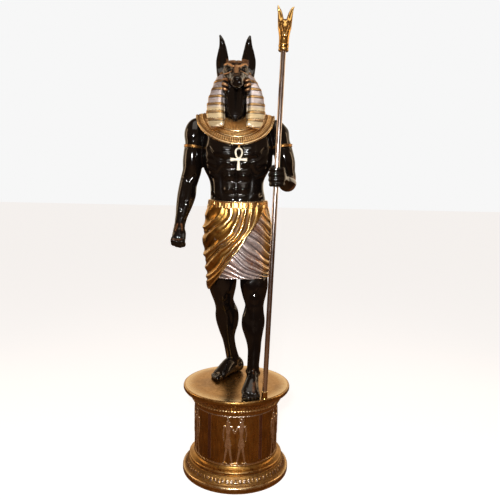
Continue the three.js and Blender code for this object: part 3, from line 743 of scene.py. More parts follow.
@dataclass(frozen=True)
class PewterFinish:
    """The kilt's inner layer: silver paint over copper in front, turning to gold round the sides, with painted
    highlights on the fold crests and painted shade in the hollows.
    """

    name: str = "pewter_cloth"
    silver: Colour = rgb(0.62, 0.55, 0.55)
    copper: Colour = rgb(0.42, 0.2, 0.12)
    gold: Colour = rgb(0.52, 0.27, 0.06)
    wash_and_shade: Colour = rgb(0.045, 0.018, 0.01)

    def material(self, shared: SharedEffects) -> bpy.types.Material:
        """Builds the material from the marks `relief` and `front`."""
        bench, shader = new_material(self.name)
        patches = bench.ramp(bench.noise(14.0, 4.0, 0.6), 0.4, 0.62)
        metal = bench.mix(patches, self.silver, self.copper)
        metal = bench.mix(bench.mark("front"), self.gold, metal)
        worn = bench.group(
            shared.gilding,
            {
                "Relief": bench.mark("relief"),
                "Gold": metal,
                # Crest colour, near-white in front and orange at the sides: a painted highlight on the inner cloth's
                # folds.
                "Bright": bench.mix(bench.mark("front"), rgb(0.85, 0.55, 0.2), rgb(0.95, 0.86, 0.84)),
                "Wash And Shade": self.wash_and_shade,
                "Mottle": 40.0,
                "Base Roughness": 0.27,
            },
        )
        for name, out in (("Base Color", "Color"), ("Roughness", "Roughness")):
            bench.feed(shader.inputs[name], worn.outputs[out])
        bench.feed(shader.inputs["Metallic"], bench.calc("MULTIPLY", worn.outputs["Metallic"], 0.72))
        return bpy.data.materials[self.name]


@dataclass(frozen=True)
class IvoryFinish:
    """Cream paint with brown painted into its recesses as shade."""

    name: str = "ivory_paint"
    cream: Colour = rgb(0.86, 0.8, 0.62)
    shade: Colour = rgb(0.35, 0.22, 0.1)

    def material(self) -> bpy.types.Material:
        """Builds the material."""
        bench, shader = new_material(self.name)
        # Painted shade: brown where the relief sinks below the smoothed surface.
        level = bench.calc("ADD", bench.mark("relief"), bench.calc("MULTIPLY", bench.noise(120.0), 0.3))
        bench.feed(shader.inputs["Base Color"], bench.mix(bench.ramp(level, 0.55, 0.3), self.cream, self.shade))
        bench.feed(shader.inputs["Roughness"], bench.ramp(bench.noise(90.0), 0.3, 0.7, (0.3, 0.45)))
        return bpy.data.materials[self.name]


@dataclass(frozen=True)
class SteelFinish:
    """Polished tube with fine lines along it."""

    name: str = "polished_tube"
    metal: Colour = rgb(0.6, 0.54, 0.52)

    def material(self) -> bpy.types.Material:
        """Builds the material."""
        bench, shader = new_material(self.name)
        lines = bench.noise(700.0, 3.0, 0.6, (1.0, 1.0, 0.02))
        stain = bench.ramp(bench.noise(6.0, 3.0), 0.45, 0.7, (0.0, 0.35))
        bench.feed(shader.inputs["Base Color"], bench.mix(stain, self.metal, rgb(0.42, 0.32, 0.28)))
        bench.feed(shader.inputs["Roughness"], bench.ramp(lines, 0.3, 0.7, (0.14, 0.26)))
        shader.inputs["Metallic"].default_value = 1.0
        bench.feed(shader.inputs["Normal"], bench.bump(lines, 0.0001))
        return bpy.data.materials[self.name]


@dataclass(frozen=True)
class PlinthFinish:
    """Antique gold on the plinth: brown ground, silvery rubbed relief and lilac-brown strips."""

    name: str = "antique_plinth"
    gold: Colour = rgb(0.5, 0.27, 0.07)
    bright: Colour = rgb(0.92, 0.72, 0.42)
    wash_and_shade: Colour = rgb(0.1, 0.04, 0.01)
    strip: Colour = rgb(0.3, 0.17, 0.14)

    def material(self, shared: SharedEffects) -> bpy.types.Material:
        """Builds the material from the marks `relief`, `strip` and `ground`."""
        bench, shader = new_material(self.name)
        streaks = bench.ramp(bench.noise(120.0, 4.0, 0.6, (1.0, 1.0, 0.12)), 0.35, 0.7, (0.0, 0.45))
        ground = bench.mix(bench.calc("MULTIPLY", bench.mark("ground"), streaks), self.gold, self.wash_and_shade)
        metal = bench.mix(bench.mark("strip"), ground, self.strip)
        worn = bench.group(
            shared.gilding,
            {
                "Relief": bench.mark("relief"),
                "Gold": metal,
                "Bright": bench.mix(bench.mark("ground"), self.bright, rgb(0.85, 0.72, 0.6)),
                "Wash And Shade": self.wash_and_shade,
                "Mottle": 55.0,
                "Base Roughness": 0.3,
            },
        )
        for name, out in (("Base Color", "Color"), ("Roughness", "Roughness"), ("Metallic", "Metallic")):
            bench.feed(shader.inputs[name], worn.outputs[out])
        hairs = bench.noise(400.0, 3.0, 0.6, (1.0, 1.0, 0.06))
        height = bench.calc("MULTIPLY", hairs, bench.mark("ground"))
        bench.feed(shader.inputs["Normal"], bench.bump(height, 0.0012))
        return bpy.data.materials[self.name]


def all_finishes() -> Finishes:
    """Builds every material once."""
    shared = SharedEffects()
    brown = rgb(0.055, 0.022, 0.008)
    return Finishes(
        lacquer=LacquerFinish(
            "gloss_black", rgb(0.005, 0.0034, 0.0028), rgb(0.2, 0.09, 0.04), rgb(0.6, 0.34, 0.16), 0.12
        ).material(),
        dress_gold=GildFinish(
            "dress_gold", rgb(0.6, 0.32, 0.1), rgb(0.98, 0.74, 0.4), brown, 70.0, 0.34
        ).material(shared),
        # On the kilt's folds, this gold's bright crests are painted highlights and its brown hollows are painted shade.
        cloth_gold=GildFinish(
            "cloth_gold", rgb(0.58, 0.31, 0.07), rgb(0.95, 0.72, 0.34), brown, 30.0, 0.3, 0.0003
        ).material(shared),
        pewter=PewterFinish().material(shared),
        banded=BandedFinish().material(shared),
        ivory=IvoryFinish().material(),
        plinth=PlinthFinish().material(shared),
        steel=SteelFinish().material(),
        burnished=GildFinish(
            "burnished_gold", rgb(0.66, 0.4, 0.12), rgb(1.0, 0.8, 0.42), brown, 80.0, 0.2
        ).material(shared),
    )


# Body


@dataclass(frozen=True)
class Body:
    """Trunk, arms and closed hands as one carved skin."""

    voxel: float = 4.0
    middle: float = -19.0

    TRUNK = Limb(
        (
            (-33, 20, 1440, 76, 56, 62),
            (-32, 20, 1412, 116, 66, 78),
            (-28, 18, 1380, 158, 86, 98),
            (-24, 14, 1336, 176, 110, 112),
            (-19, 10, 1284, 184, 122, 118),
            (-18, 8, 1206, 186, 122, 114),
            (-20, 6, 1180, 182, 118, 110),
            (-20, 5, 1154, 171, 112, 106),
            (-19, 4, 1101, 145, 103, 98),
            (-17, 4, 1048, 141, 100, 94),
            (-12, 6, 985, 147, 106, 98),
            (-12, 6, 960, 140, 100, 92),
        ),
        sides=170,
        spacing=5.0,
        square=2.35,
    )
    HANGING_ARM = Limb(
        (
            (-206, 10, 1403, 16, 20, 20),
            (-230, 9, 1386, 45, 43, 45),
            (-248, 8, 1345, 52, 60, 60),
            (-250, 8, 1286, 46, 57, 56),
            (-253, 9, 1250, 50, 60, 56),
            (-256, 12, 1200, 53, 61, 56),
            (-260, 16, 1150, 50, 54, 52),
            (-270, 20, 1112, 48, 44, 48),
            (-279, 20, 1078, 47, 42, 44),
            (-286, 8, 1020, 49, 42, 38),
            (-296, -8, 966, 43, 35, 33),
            (-307, -25, 912, 33, 27, 26),
            (-315, -40, 862, 29, 21, 21),
            (-317, -50, 832, 32, 22, 22),
            (-318, -57, 795, 37, 24, 24),
            (-321, -60, 768, 34, 24, 22),
            (-321, -60, 758, 24, 14, 12),
        ),
        sides=84,
        spacing=5.0,
    )
    UPPER_ARM = Limb(
        (
            (156, 12, 1403, 16, 20, 20),
            (177, 11, 1388, 41, 43, 45),
            (196, 10, 1348, 52, 60, 60),
            (212, 10, 1290, 48, 57, 56),
            (224, 12, 1252, 51, 60, 56),
            (237, 16, 1205, 53, 61, 56),
            (246, 26, 1155, 47, 54, 52),
            (255, 36, 1115, 43, 48, 46),
            (256, 40, 1084, 33, 38, 36),
            (256, 40, 1066, 18, 22, 20),
        ),
        sides=84,
        spacing=5.0,
    )
    FOREARM = Limb(
        (
            (268, 62, 1094, 18, 22, 22),
            (264, 40, 1092, 34, 36, 36),
            (255, 0, 1088, 40, 42, 40),
            (245, -40, 1088, 43, 44, 42),
            (232, -95, 1093, 38, 36, 38),
            (220, -145, 1099, 29, 30, 31),
            (210, -190, 1104, 25, 29, 29),
            (207, -214, 1106, 22, 34, 36),
            (207, -250, 1107, 19, 42, 42),
            (205, -276, 1107, 15, 40, 40),
            (204, -284, 1107, 8, 30, 30),
        ),
        sides=72,
        spacing=5.0,
    )

    @staticmethod
    def finger(joints: Sequence[Row], thick: float, across: tuple[float, float, float]) -> Array:
        """One finger along its joints, a little thinner towards its tip."""
        rows = []
        for i, (x, y, z) in enumerate(joints):
            radius = thick * (0.62 if i == len(joints) - 1 else 1.0 - 0.05 * i)
            rows.append((x, y, z, radius, radius, radius))
        return Limb(tuple(rows), across=across, sides=24, spacing=3.0).grid()

    def hands(self) -> list[Array]:
        """The fingers and thumbs of both closed hands."""
        parts = []
        for x, knuckle in zip((-346, -328, -310, -293), (10, 3, 0, 4)):
            joints = ((x, -66, 790), (x, -76, 770 + knuckle), (x, -62, 752 + knuckle), (x, -38, 754 + knuckle))
            parts.append(self.finger((*joints, (x, -28, 772)), 13.0, RIGHT))
        hanging_thumb = ((-294, -50, 828), (-291, -64, 804), (-293, -78, 782), (-304, -86, 768))
        parts.append(self.finger(hanging_thumb, 13.0, RIGHT))
        for z, short in zip((1143, 1119, 1095, 1073), (2, 0, 2, 6)):
            joints = ((208, -262, z), (200, -280, z), (172, -286, z), (150 + short, -276, z))
            parts.append(self.finger((*joints, (148 + short, -252, z), (162 + short, -230, z)), 13.0, UP))
        gripping_thumb = ((206, -215, 1126), (194, -224, 1150), (172, -230, 1158), (152, -250, 1156))
        parts.append(self.finger(gripping_thumb, 13.0, UP))
        return parts

    def front_strokes(self) -> list[Stroke]:
        """Breast plates, belly blocks, ribs and flanks, drawn in the front view about the trunk's middle."""
        mid = self.middle
        pairs = [
            flat_stroke(52, 9, FRONT, (mid + 84, 1262)),
            flat_stroke(24, 4, FRONT, (mid + 40, 1232), (mid + 110, 1236)),
            flat_stroke(8, -7, FRONT, (mid + 10, 1206), (mid + 60, 1200), (mid + 108, 1214), (mid + 142, 1256)),
            flat_stroke(8, 4.5, FRONT, (mid + 34, 1250), (mid + 64, 1252)),
            flat_stroke(6, 4.0, FRONT, (mid + 34, 1226), (mid + 68, 1228)),
            flat_stroke(15, 7.5, FRONT, (mid + 28, 1182), (mid + 48, 1184)),
            flat_stroke(19, 14, FRONT, (mid + 35, 1122), (mid + 41, 1122)),
            flat_stroke(19, 14, FRONT, (mid + 34, 1055), (mid + 40, 1055)),
            flat_stroke(20, 5.0, FRONT, (mid + 20, 1000), (mid + 32, 1000)),
            flat_stroke(4.5, -5, FRONT, (mid + 12, 1153), (mid + 64, 1158)),
            flat_stroke(4.5, -5, FRONT, (mid + 12, 1088), (mid + 62, 1092)),
            flat_stroke(4.5, -4.5, FRONT, (mid + 12, 1024), (mid + 56, 1028)),
            flat_stroke(12, -3.5, FRONT, (mid + 74, 1196), (mid + 76, 1120), (mid + 70, 1040), (mid + 58, 990)),
            flat_stroke(10, -4, FRONT, (mid + 14, 1196), (mid + 60, 1172), (mid + 100, 1128)),
            flat_stroke(24, 5, FRONT, (mid + 104, 1080), (mid + 102, 1030)),
            flat_stroke(9, 4.5, FRONT, (mid + 150, 1192), (mid + 112, 1174)),
            flat_stroke(9, 4.5, FRONT, (mid + 146, 1162), (mid + 108, 1144)),
            flat_stroke(8, 4.0, FRONT, (mid + 136, 1132), (mid + 104, 1116)),
            flat_stroke(12, -4, FRONT, (mid + 130, 1018), (mid + 84, 992)),
        ]
        single = [
            flat_stroke(5, -6, FRONT, (mid, 1200), (mid, 1000)),
            flat_stroke(8, -6, FRONT, (mid - 4, 1400), (mid, 1206)),
            flat_stroke(6, -6, FRONT, (mid, 1030)),
        ]
        return both_sides(pairs, mid) + single

    def back_strokes(self) -> list[Stroke]:
        """Spine, shoulder blades and the broad muscles of the back."""
        mid = -22.0
        pairs = [
            flat_stroke(18, 7, BACK, (mid + 30, 1210), (mid + 34, 1040)),
            flat_stroke(34, 8, BACK, (mid + 92, 1350), (mid + 74, 1290)),
            flat_stroke(11, -5, BACK, (mid + 40, 1330), (mid + 58, 1262), (mid + 110, 1276)),
            flat_stroke(34, 6, BACK, (mid + 134, 1270), (mid + 112, 1170)),
            flat_stroke(12, -4, BACK, (mid + 56, 1190), (mid + 104, 1100)),
            flat_stroke(9, -4, BACK, (mid + 34, 1012)),
        ]
        return both_sides(pairs, mid) + [flat_stroke(10, -9, BACK, (mid, 1420), (mid + 3, 1000))]

    @staticmethod
    def arm_strokes() -> list[Stroke]:
        """Shoulder caps, upper arms, elbows, forearms, wrists and the backs of the hands."""
        return [
            flat_stroke(26, 6, FRONT, (-254, 1236), (-258, 1180)),
            flat_stroke(26, 6, FRONT, (226, 1236), (238, 1180)),
            Stroke(7, -4, ((-226, -50, 1318), (-252, -54, 1290), (-284, -30, 1262))),
            Stroke(7, -4, ((190, -50, 1318), (214, -54, 1292), (252, -28, 1262))),
            Stroke(8, -4, ((-306, 4, 1232), (-308, 10, 1160))),
            Stroke(8, -4, ((286, 6, 1232), (292, 22, 1160))),
            flat_stroke(7, -4, FRONT, (-240, 1120), (-272, 1106), (-306, 1112)),
            flat_stroke(16, 5, FRONT, (-300, 1086), (-314, 1010), (-318, 950)),
            flat_stroke(15, 4, FRONT, (-262, 1066), (-276, 990)),
            flat_stroke(7, -4, FRONT, (-282, 1092), (-296, 1000), (-306, 930)),
            flat_stroke(3.6, 2.4, FRONT, (-304, 906), (-309, 856)),
            flat_stroke(3.6, 2.4, FRONT, (-318, 900), (-319, 850)),
            flat_stroke(4.0, 2.2, FRONT, (-311, 840), (-296, 800)),
            flat_stroke(4.0, 2.2, FRONT, (-315, 838), (-310, 796)),
            flat_stroke(4.0, 2.2, FRONT, (-320, 838), (-327, 796)),
            flat_stroke(4.0, 2.2, FRONT, (-325, 838), (-344, 798)),
            flat_stroke(8, 3.5, BACK, (-268, 1110)),
            Stroke(13, 5, ((262, 72, 1088),)),
            flat_stroke(13, 5, UP, (256, -10), (246, -60)),
            Stroke(14, 5, ((285, 0, 1094), (270, -70, 1094), (250, -130, 1100))),
            Stroke(6, -3.5, ((262, 10, 1132), (250, -60, 1132), (234, -120, 1128))),
            Stroke(4, 2.0, ((222, -180, 1132), (208, -214, 1140), (206, -252, 1144))),
            Stroke(4, 2.0, ((232, -186, 1118), (226, -220, 1120), (222, -256, 1120))),
            Stroke(4, 2.0, ((234, -186, 1104), (228, -220, 1100), (222, -256, 1098))),
        ]

    @staticmethod
    def bloom_strokes() -> list[Stroke]:
        """Where the black turns bronze: the raised arm's elbow and forearm, the wrists, the knuckles and the outer
        upper arms.
        """
        return [
            Stroke(34, 0.9, ((292, 44, 1088), (290, 0, 1068), (272, -60, 1058))),
            Stroke(22, 0.5, ((286, 30, 1120), (276, -30, 1112))),
            Stroke(15, 0.5, ((-300, 20, 1120), (-316, 0, 1050))),
            Stroke(9, 0.75, ((-326, -62, 866), (-334, -72, 836))),
            Stroke(9, 0.75, ((-303, -62, 866), (-296, -72, 836))),
            Stroke(9, 0.55, ((-346, -82, 786), (-293, -82, 786))),
            Stroke(10, 0.35, ((296, 20, 1240), (300, 24, 1150))),
            Stroke(10, 0.35, ((-308, 6, 1240), (-312, 12, 1150))),
        ]

    def build(self, finishes: Finishes) -> bpy.types.Object:
        """Joins, carves and dresses the skin."""
        shell = Shell("trunk_and_arms")
        for limb in (self.TRUNK, self.HANGING_ARM, self.UPPER_ARM, self.FOREARM):
            shell.limb(limb.grid())
        for part in self.hands():
            shell.limb(part)
        piece = shell.publish()
        voxel_joined(piece, self.voxel)
        carving = Carving(piece)
        carving.soften(4)
        carving.relax(30)
        carving.press(self.front_strokes() + self.back_strokes() + self.arm_strokes())
        carving.relax(6)
        carving.paint("bloom", carving.dabs(self.bloom_strokes()))
        return settle(piece, Slot.FIGURE, finishes.lacquer)


@dataclass(frozen=True)
class Legs:
    """Both legs and feet as one carved skin, the left one in the view standing back and turned out."""

    voxel: float = 3.3

    BACK_LEG = Limb(
        (
            (-88, 50, 655, 80, 84, 84),
            (-89, 60, 525, 75, 78, 74),
            (-86, 68, 478, 64, 66, 62),
            (-81, 74, 440, 54, 58, 54),
            (-73, 85, 405, 56, 50, 58),
            (-66, 94, 372, 64, 47, 68),
            (-62, 100, 335, 65, 45, 72),
            (-60, 107, 298, 59, 42, 66),
            (-59, 115, 260, 48, 38, 52),
            (-54, 124, 215, 36, 34, 42),
            (-45, 133, 165, 33, 32, 38),
            (-37, 143, 125, 34, 34, 40),
            (-28, 152, 85, 36, 38, 42),
            (-22, 158, 45, 34, 34, 40),
        ),
        sides=84,
        spacing=5.0,
    )
    FRONT_LEG = Limb(
        (
            (76, -8, 655, 66, 76, 78),
            (81, -14, 600, 72, 78, 78),
            (84, -20, 542, 74, 76, 74),
            (86, -28, 489, 63, 64, 64),
            (88, -34, 440, 50, 56, 52),
            (86, -40, 405, 54, 46, 58),
            (84, -45, 370, 61, 42, 68),
            (83, -50, 330, 61, 42, 68),
            (86, -57, 290, 51, 40, 56),
            (90, -64, 245, 40, 34, 44),
            (92, -70, 205, 35, 31, 38),
            (90, -75, 165, 33, 32, 38),
            (88, -78, 125, 32, 36, 40),
            (88, -80, 85, 34, 40, 42),
            (88, -80, 45, 32, 36, 40),
        ),
        sides=84,
        spacing=5.0,
    )
    SOLE = (
        (2, 0, 30, 10, 12, 12),
        (12, 0, 30, 26, 28, 30),
        (36, 0, 38, 33, 46, 40),
        (66, 0, 46, 34, 56, 48),
        (100, 1, 46, 35, 54, 48),
        (136, 3, 37, 39, 48, 39),
        (170, 5, 28, 44, 32, 30),
        (194, 5, 22, 45, 20, 24),
        (206, 4, 18, 38, 12, 19),
    )
    TOES = ((31, 206, 247, 15), (9, 206, 243, 11), (-9, 203, 235, 10), (-25, 196, 224, 10), (-39, 186, 210, 10))

    def foot(self, heel: tuple[float, float], turn: float, inner: int) -> tuple[list[Array], list[Stroke]]:
        """A foot with its toes, and the strokes of its tendons, ankles and nails.

        Args:
            heel: where the back of the heel stands, x and y.
            turn: degrees from straight ahead, towards +X.
            inner: +1 when the big toe is on the +X side.

        Returns:
            The skins of foot and toes, and the strokes.
        """
        angle = math.radians(turn)
        ahead = np.array([math.sin(angle), -math.cos(angle)])
        aside = np.array([math.cos(angle), math.sin(angle)]) * inner
        across = (math.cos(angle), math.sin(angle), 0.0)

        def at(far: float, out: float, z: float) -> tuple[float, float, float]:
            """A point of the foot from its distance ahead of the heel and towards the inner side."""
            x, y = np.array(heel) + ahead * far + aside * out
            return (float(x), float(y), z)

        body = Limb(
            tuple((*at(far, out, z), wide, over, under) for far, out, z, wide, over, under in self.SOLE),
            across=across,
            sides=72,
            spacing=4.0,
        )
        skins = [body.grid()]
        strokes = [
            Stroke(12, 7, (at(56, 34, 88),)),
            Stroke(12, 7, (at(48, -34, 76),)),
            Stroke(9, -4, (at(26, 30, 70), at(52, 36, 52))),
            Stroke(9, -4, (at(22, -30, 62), at(48, -36, 46))),
        ]
        for out, root, tip, thick in self.TOES:
            rows = (
                (*at(root - 20, out * 0.9, thick + 5), thick * 0.95, thick, thick + 6),
                (*at(root + 6, out * 0.97, thick + 2), thick * 0.92, thick * 0.95, thick + 3),
                (*at(tip - thick, out, thick - 1), thick, thick * 0.95, thick),
                (*at(tip - 2, out, thick - 2), thick * 0.8, thick * 0.7, thick * 0.8),
                (*at(tip, out, thick - 3), thick * 0.6, thick * 0.5, thick * 0.5),
            )
            skins.append(Limb(rows, across=across, sides=28, spacing=3.0).grid())
            strokes.append(Stroke(4.2, 2.4, (at(84, out * 0.3, 98), at(136, out * 0.6, 84), at(root - 14, out * 0.9, 38))))
            strokes.append(Stroke(thick * 0.34, -1.6, (at(tip - thick * 1.25, out, thick * 2 - 2),)))
        return skins, strokes

    @staticmethod
    def leg_strokes() -> list[Stroke]:
        """Knees, shins and calves."""
        strokes = []
        for x, knee, out, shin in ((-84, 474, -1, ((-78, 420), (-62, 330), (-52, 200), (-40, 120))),
                                   (87, 484, 1, ((84, 420), (80, 330), (88, 200), (88, 120)))):
            strokes += [
                flat_stroke(17, 7, FRONT, (x, knee + 6), (x, knee - 8)),
                flat_stroke(10, -3, FRONT, (x - 27, knee + 18), (x - 29, knee - 10), (x - 16, knee - 30)),
                flat_stroke(10, -3, FRONT, (x + 27, knee + 18), (x + 29, knee - 10), (x + 16, knee - 30)),
                flat_stroke(14, 3, FRONT, (x, knee - 46)),
                flat_stroke(20, 6, FRONT, (x - out * 30, knee + 44), (x - out * 38, knee + 76)),
                flat_stroke(20, 5, FRONT, (x + out * 32, knee + 62), (x + out * 38, knee + 96)),
                flat_stroke(12, 3, FRONT, *shin),
                flat_stroke(11, -1.5, FRONT, *((px - out * 20, pz) for px, pz in shin)),
                flat_stroke(26, 7, BACK, (x + 24, knee - 104), (x + 20, knee - 170)),
                flat_stroke(26, 7, BACK, (x - 16, knee - 104), (x - 10, knee - 176)),
                flat_stroke(7, -5, BACK, (x + 4, knee - 90), (x + 8, knee - 210)),
                flat_stroke(9, -5, BACK, (x - 14, knee - 10), (x + 18, knee - 8)),
            ]
        return strokes

    def build(self, finishes: Finishes) -> bpy.types.Object:
        """Joins, carves and dresses the legs, with flat soles that clear the slab."""
        shell = Shell("legs_and_feet")
        shell.limb(self.BACK_LEG.grid())
        shell.limb(self.FRONT_LEG.grid())
        strokes = self.leg_strokes()
        for heel, turn, inner in (((24.0, 208.0), -41.0, 1), ((92.0, -22.0), -4.0, -1)):
            skins, lines = self.foot(heel, turn, inner)
            strokes += lines
            for skin in skins:
                shell.limb(skin)
        piece = shell.publish()
        voxel_joined(piece, self.voxel)
        carving = Carving(piece)
        carving.soften(2)
        carving.relax(8)
        carving.press(strokes)
        carving.relax(3)
        carving.points[:, 2] = np.maximum(carving.points[:, 2], 0.4)
        carving.write()
        toes = [Stroke(16, 0.5, ((92, -190, 62), (92, -240, 30))), Stroke(16, 0.35, ((-98, 60, 60), (-128, 30, 30)))]
        carving.paint("bloom", carving.dabs([*toes, Stroke(10, 0.5, ((90, -118, 110), (90, -140, 92)))]))
        return settle(piece, Slot.FIGURE, finishes.lacquer)


@dataclass(frozen=True)
class JackalHead:
    """Head with its long muzzle, both ears and the neck as one carved skin."""

    voxel: float = 2.6
    middle: float = -25.0
    brow_middle: float = -28.0

    SKULL = Limb(
        (
            (-36, 74, 1640, 18, 24, 24),
            (-36, 52, 1643, 52, 48, 54),
            (-36, 10, 1648, 68, 62, 68),
            (-34, -30, 1649, 69, 63, 72),
            (-31, -70, 1648, 66, 54, 76),
            (-28, -100, 1640, 58, 43, 74),
            (-25, -128, 1622, 44, 32, 64),
            (-23, -160, 1600, 35, 28, 54),
            (-21, -195, 1580, 31, 26, 46),
            (-20, -225, 1565, 28, 25, 38),
            (-19, -246, 1557, 24, 21, 27),
            (-19, -254, 1554, 16, 14, 18),
        ),
        sides=110,
        spacing=3.5,
    )
    NECK = Limb(
        (
            (-35, -2, 1612, 50, 54, 60),
            (-35, 2, 1560, 57, 58, 66),
            (-35, 8, 1500, 59, 58, 64),
            (-34, 14, 1440, 62, 56, 66),
            (-33, 17, 1385, 66, 60, 70),
        ),
        sides=90,
        spacing=5.0,
    )
    THROAT = Limb(
        (
            (-34, -20, 1612, 46, 44, 30),
            (-34, -18, 1560, 57, 50, 30),
            (-34, -16, 1506, 60, 56, 30),
            (-33, -18, 1450, 57, 60, 30),
            (-32, -22, 1414, 48, 62, 30),
            (-31, -30, 1390, 32, 54, 26),
            (-30, -38, 1375, 13, 44, 20),
        ),
        sides=90,
        spacing=5.0,
    )
    CHEEK = (
        (50, -50, 1628, 8, 12, 12),
        (57, -54, 1604, 17, 22, 18),
        (59, -54, 1574, 17, 22, 18),
        (56, -48, 1548, 13, 17, 14),
        (52, -42, 1536, 5, 8, 8),
    )
    EAR = (
        (70, 6, 1612, 14, 16, 16),
        (71, 6, 1636, 25, 22, 20),
        (70, 4, 1672, 31, 20, 19),
        (69, 3, 1716, 34, 15, 16),
        (69, 4, 1762, 26, 11, 13),
        (70, 7, 1792, 19, 9, 10),
        (75, 10, 1822, 13, 7.5, 7.5),
        (82, 13, 1843, 7.5, 5.5, 5),
        (86, 14, 1852, 4, 4, 3.5),
    )

    def ear(self, side: int) -> Array:
        """One ear: its back is a half oval, and its front is sunk behind its rim to make the hollow.

        Args:
            side: -1 on the viewer's left, +1 on the right, where the ear is wider and its tip leans in.

        Returns:
            The ear's rings.
        """
        rows = np.array(self.EAR, float)
        inward = np.zeros(len(rows))
        if side > 0:
            inward = 2.0 + 10.0 * np.maximum(0.0, (rows[:, 2] - 1740.0) / 106.0) ** 2
        rows[:, 0] = -36.0 + side * (rows[:, 0] - inward)
        rows[:, 3] *= 1.12 if side > 0 else 0.98
        grid = Limb(tuple(map(tuple, rows)), sides=64, spacing=3.0).grid()
        middle = grid.mean(axis=1, keepdims=True)
        offset = grid - middle
        wide = np.abs(offset[..., 0]) / np.maximum(np.abs(offset[..., 0]).max(axis=1, keepdims=True), 1e-6)
        hollow = rise(middle[..., 2], 1640.0, 1690.0) * rise(middle[..., 2], 1836.0, 1790.0)
        sunk = hollow * (1.0 - wide**2) * (offset[..., 1] < 0.0)
        depth = np.abs(offset[..., 1])
        grid[..., 1] += sunk * (depth + 0.35 * depth.max(axis=1, keepdims=True))
        return grid

    def strokes(self) -> list[Stroke]:
        """Mouth, nostrils and temples, drawn in space on one side and mirrored."""
        mid = self.middle
        pairs = [
            Stroke(14, -5, ((mid + 36, -140, 1612), (mid + 32, -180, 1588))),
            Stroke(10, 4, ((mid + 22, -232, 1548), (mid + 27, -206, 1552), (mid + 30, -176, 1562))),
            Stroke(4, -4.5, ((mid + 10, -250, 1530), (mid + 28, -226, 1534), (mid + 36, -184, 1546), (mid + 48, -136, 1568))),
            Stroke(4, -4.5, ((mid + 15, -252, 1556), (mid + 20, -244, 1562))),
            Stroke(10, 4, ((mid + 40, -60, 1700), (mid + 52, -30, 1704))),
            Stroke(9, -4, ((mid + 66, -40, 1640), (mid + 60, -70, 1612))),
        ]
        single = [
            Stroke(9, 5, ((mid + 6, -252, 1563), (mid + 5, -240, 1574))),
            Stroke(4, -3, ((mid + 5, -256, 1548), (mid + 5, -250, 1534))),
            Stroke(7, -3, ((mid - 1, -116, 1680), (mid - 6, -60, 1706), (mid - 10, -10, 1712))),
        ]
        return both_sides(pairs, mid) + single

    def face_strokes(self) -> list[Stroke]:
        """Brows, sockets, lids, bridge and cheek tufts, drawn in the front view."""
        mid = self.brow_middle
        pairs = [
            flat_stroke(14, -9, FRONT, (mid + 34, 1640), (mid + 42, 1640)),
            flat_stroke(6, 8, FRONT, (mid + 16, 1652), (mid + 30, 1665), (mid + 44, 1674), (mid + 60, 1672)),
            flat_stroke(3.4, 3.5, FRONT, (mid + 24, 1627), (mid + 38, 1623), (mid + 56, 1626), (mid + 76, 1632)),
            flat_stroke(9, 5, FRONT, (mid + 62, 1608), (mid + 44, 1600)),
            flat_stroke(9, 5, FRONT, (mid + 66, 1584), (mid + 46, 1578)),
            flat_stroke(9, 5, FRONT, (mid + 64, 1560), (mid + 50, 1556)),
            flat_stroke(4, -4, FRONT, (mid + 72, 1598), (mid + 46, 1588)),
            flat_stroke(4, -4, FRONT, (mid + 72, 1573), (mid + 48, 1567)),
            flat_stroke(5, -3, FRONT, (mid + 18, 1640), (mid + 20, 1606)),
            flat_stroke(8, 2.5, FRONT, (mid + 22, 1694), (mid + 40, 1690)),
        ]
        single = [
            flat_stroke(10, 6, FRONT, (mid + 2, 1652), (mid + 3, 1612)),
            flat_stroke(5, -3, FRONT, (mid + 1, 1666), (mid, 1694)),
        ]
        return both_sides(pairs, mid) + single

    def bloom(self, carving: Carving) -> Array:
        """Bronze on the crown, and on the raised parts of brows, lids, bridge and cheek tufts.

        Args:
            carving: the carved head.

        Returns:
            The mask, 0 to 1 for each point.
        """
        mid = self.brow_middle
        x, y, z = carving.points.T
        pairs = [
            flat_stroke(5, 1.2, FRONT, (mid + 17, 1653), (mid + 30, 1665), (mid + 44, 1674), (mid + 58, 1673)),
            flat_stroke(3, 1.2, FRONT, (mid + 24, 1627), (mid + 38, 1623), (mid + 56, 1626), (mid + 76, 1632)),
            flat_stroke(8, 0.7, FRONT, (mid + 64, 1608), (mid + 46, 1600)),
            flat_stroke(8, 0.7, FRONT, (mid + 66, 1584), (mid + 48, 1578)),
            flat_stroke(7, 0.6, FRONT, (mid + 64, 1560), (mid + 52, 1556)),
            flat_stroke(12, 0.4, FRONT, (mid + 68, 1640), (mid + 60, 1656)),
        ]
        single = [
            flat_stroke(13, 1.0, FRONT, (mid + 2, 1656), (mid + 3, 1616)),
            flat_stroke(11, 0.7, FRONT, (50, 1712), (48, 1688)),
            flat_stroke(8, 0.4, FRONT, (-124, 1650), (-118, 1640)),
        ]
        front = rise(-y, -10.0, 10.0)
        dabs = carving.dabs(both_sides(pairs, mid) + single) * front * rise(z, 1535.0, 1555.0)
        crown = 0.72 * rise(z + 0.12 * np.abs(x - mid), 1664.0, 1690.0) * hump((x - mid) / 84.0, 1.0) ** 0.25
        crown *= rise(60.0 - y, 0.0, 40.0) * rise(1735.0 - z, 0.0, 10.0) * rise(70.0 - np.abs(x - mid), 0.0, 14.0)
        crest = np.clip(carving.relief(24, 2.2) * 2.0 - 1.0, 0.0, 1.0)
        nose = rise(-y, 205.0, 225.0)
        face = rise(-y, 20.0, 60.0) * rise(z, 1540.0, 1560.0) * (1.0 - nose)
        return np.clip(np.maximum(dabs, crown) + 0.5 * crest * face, 0.0, 1.0) * (1.0 - 0.9 * nose)

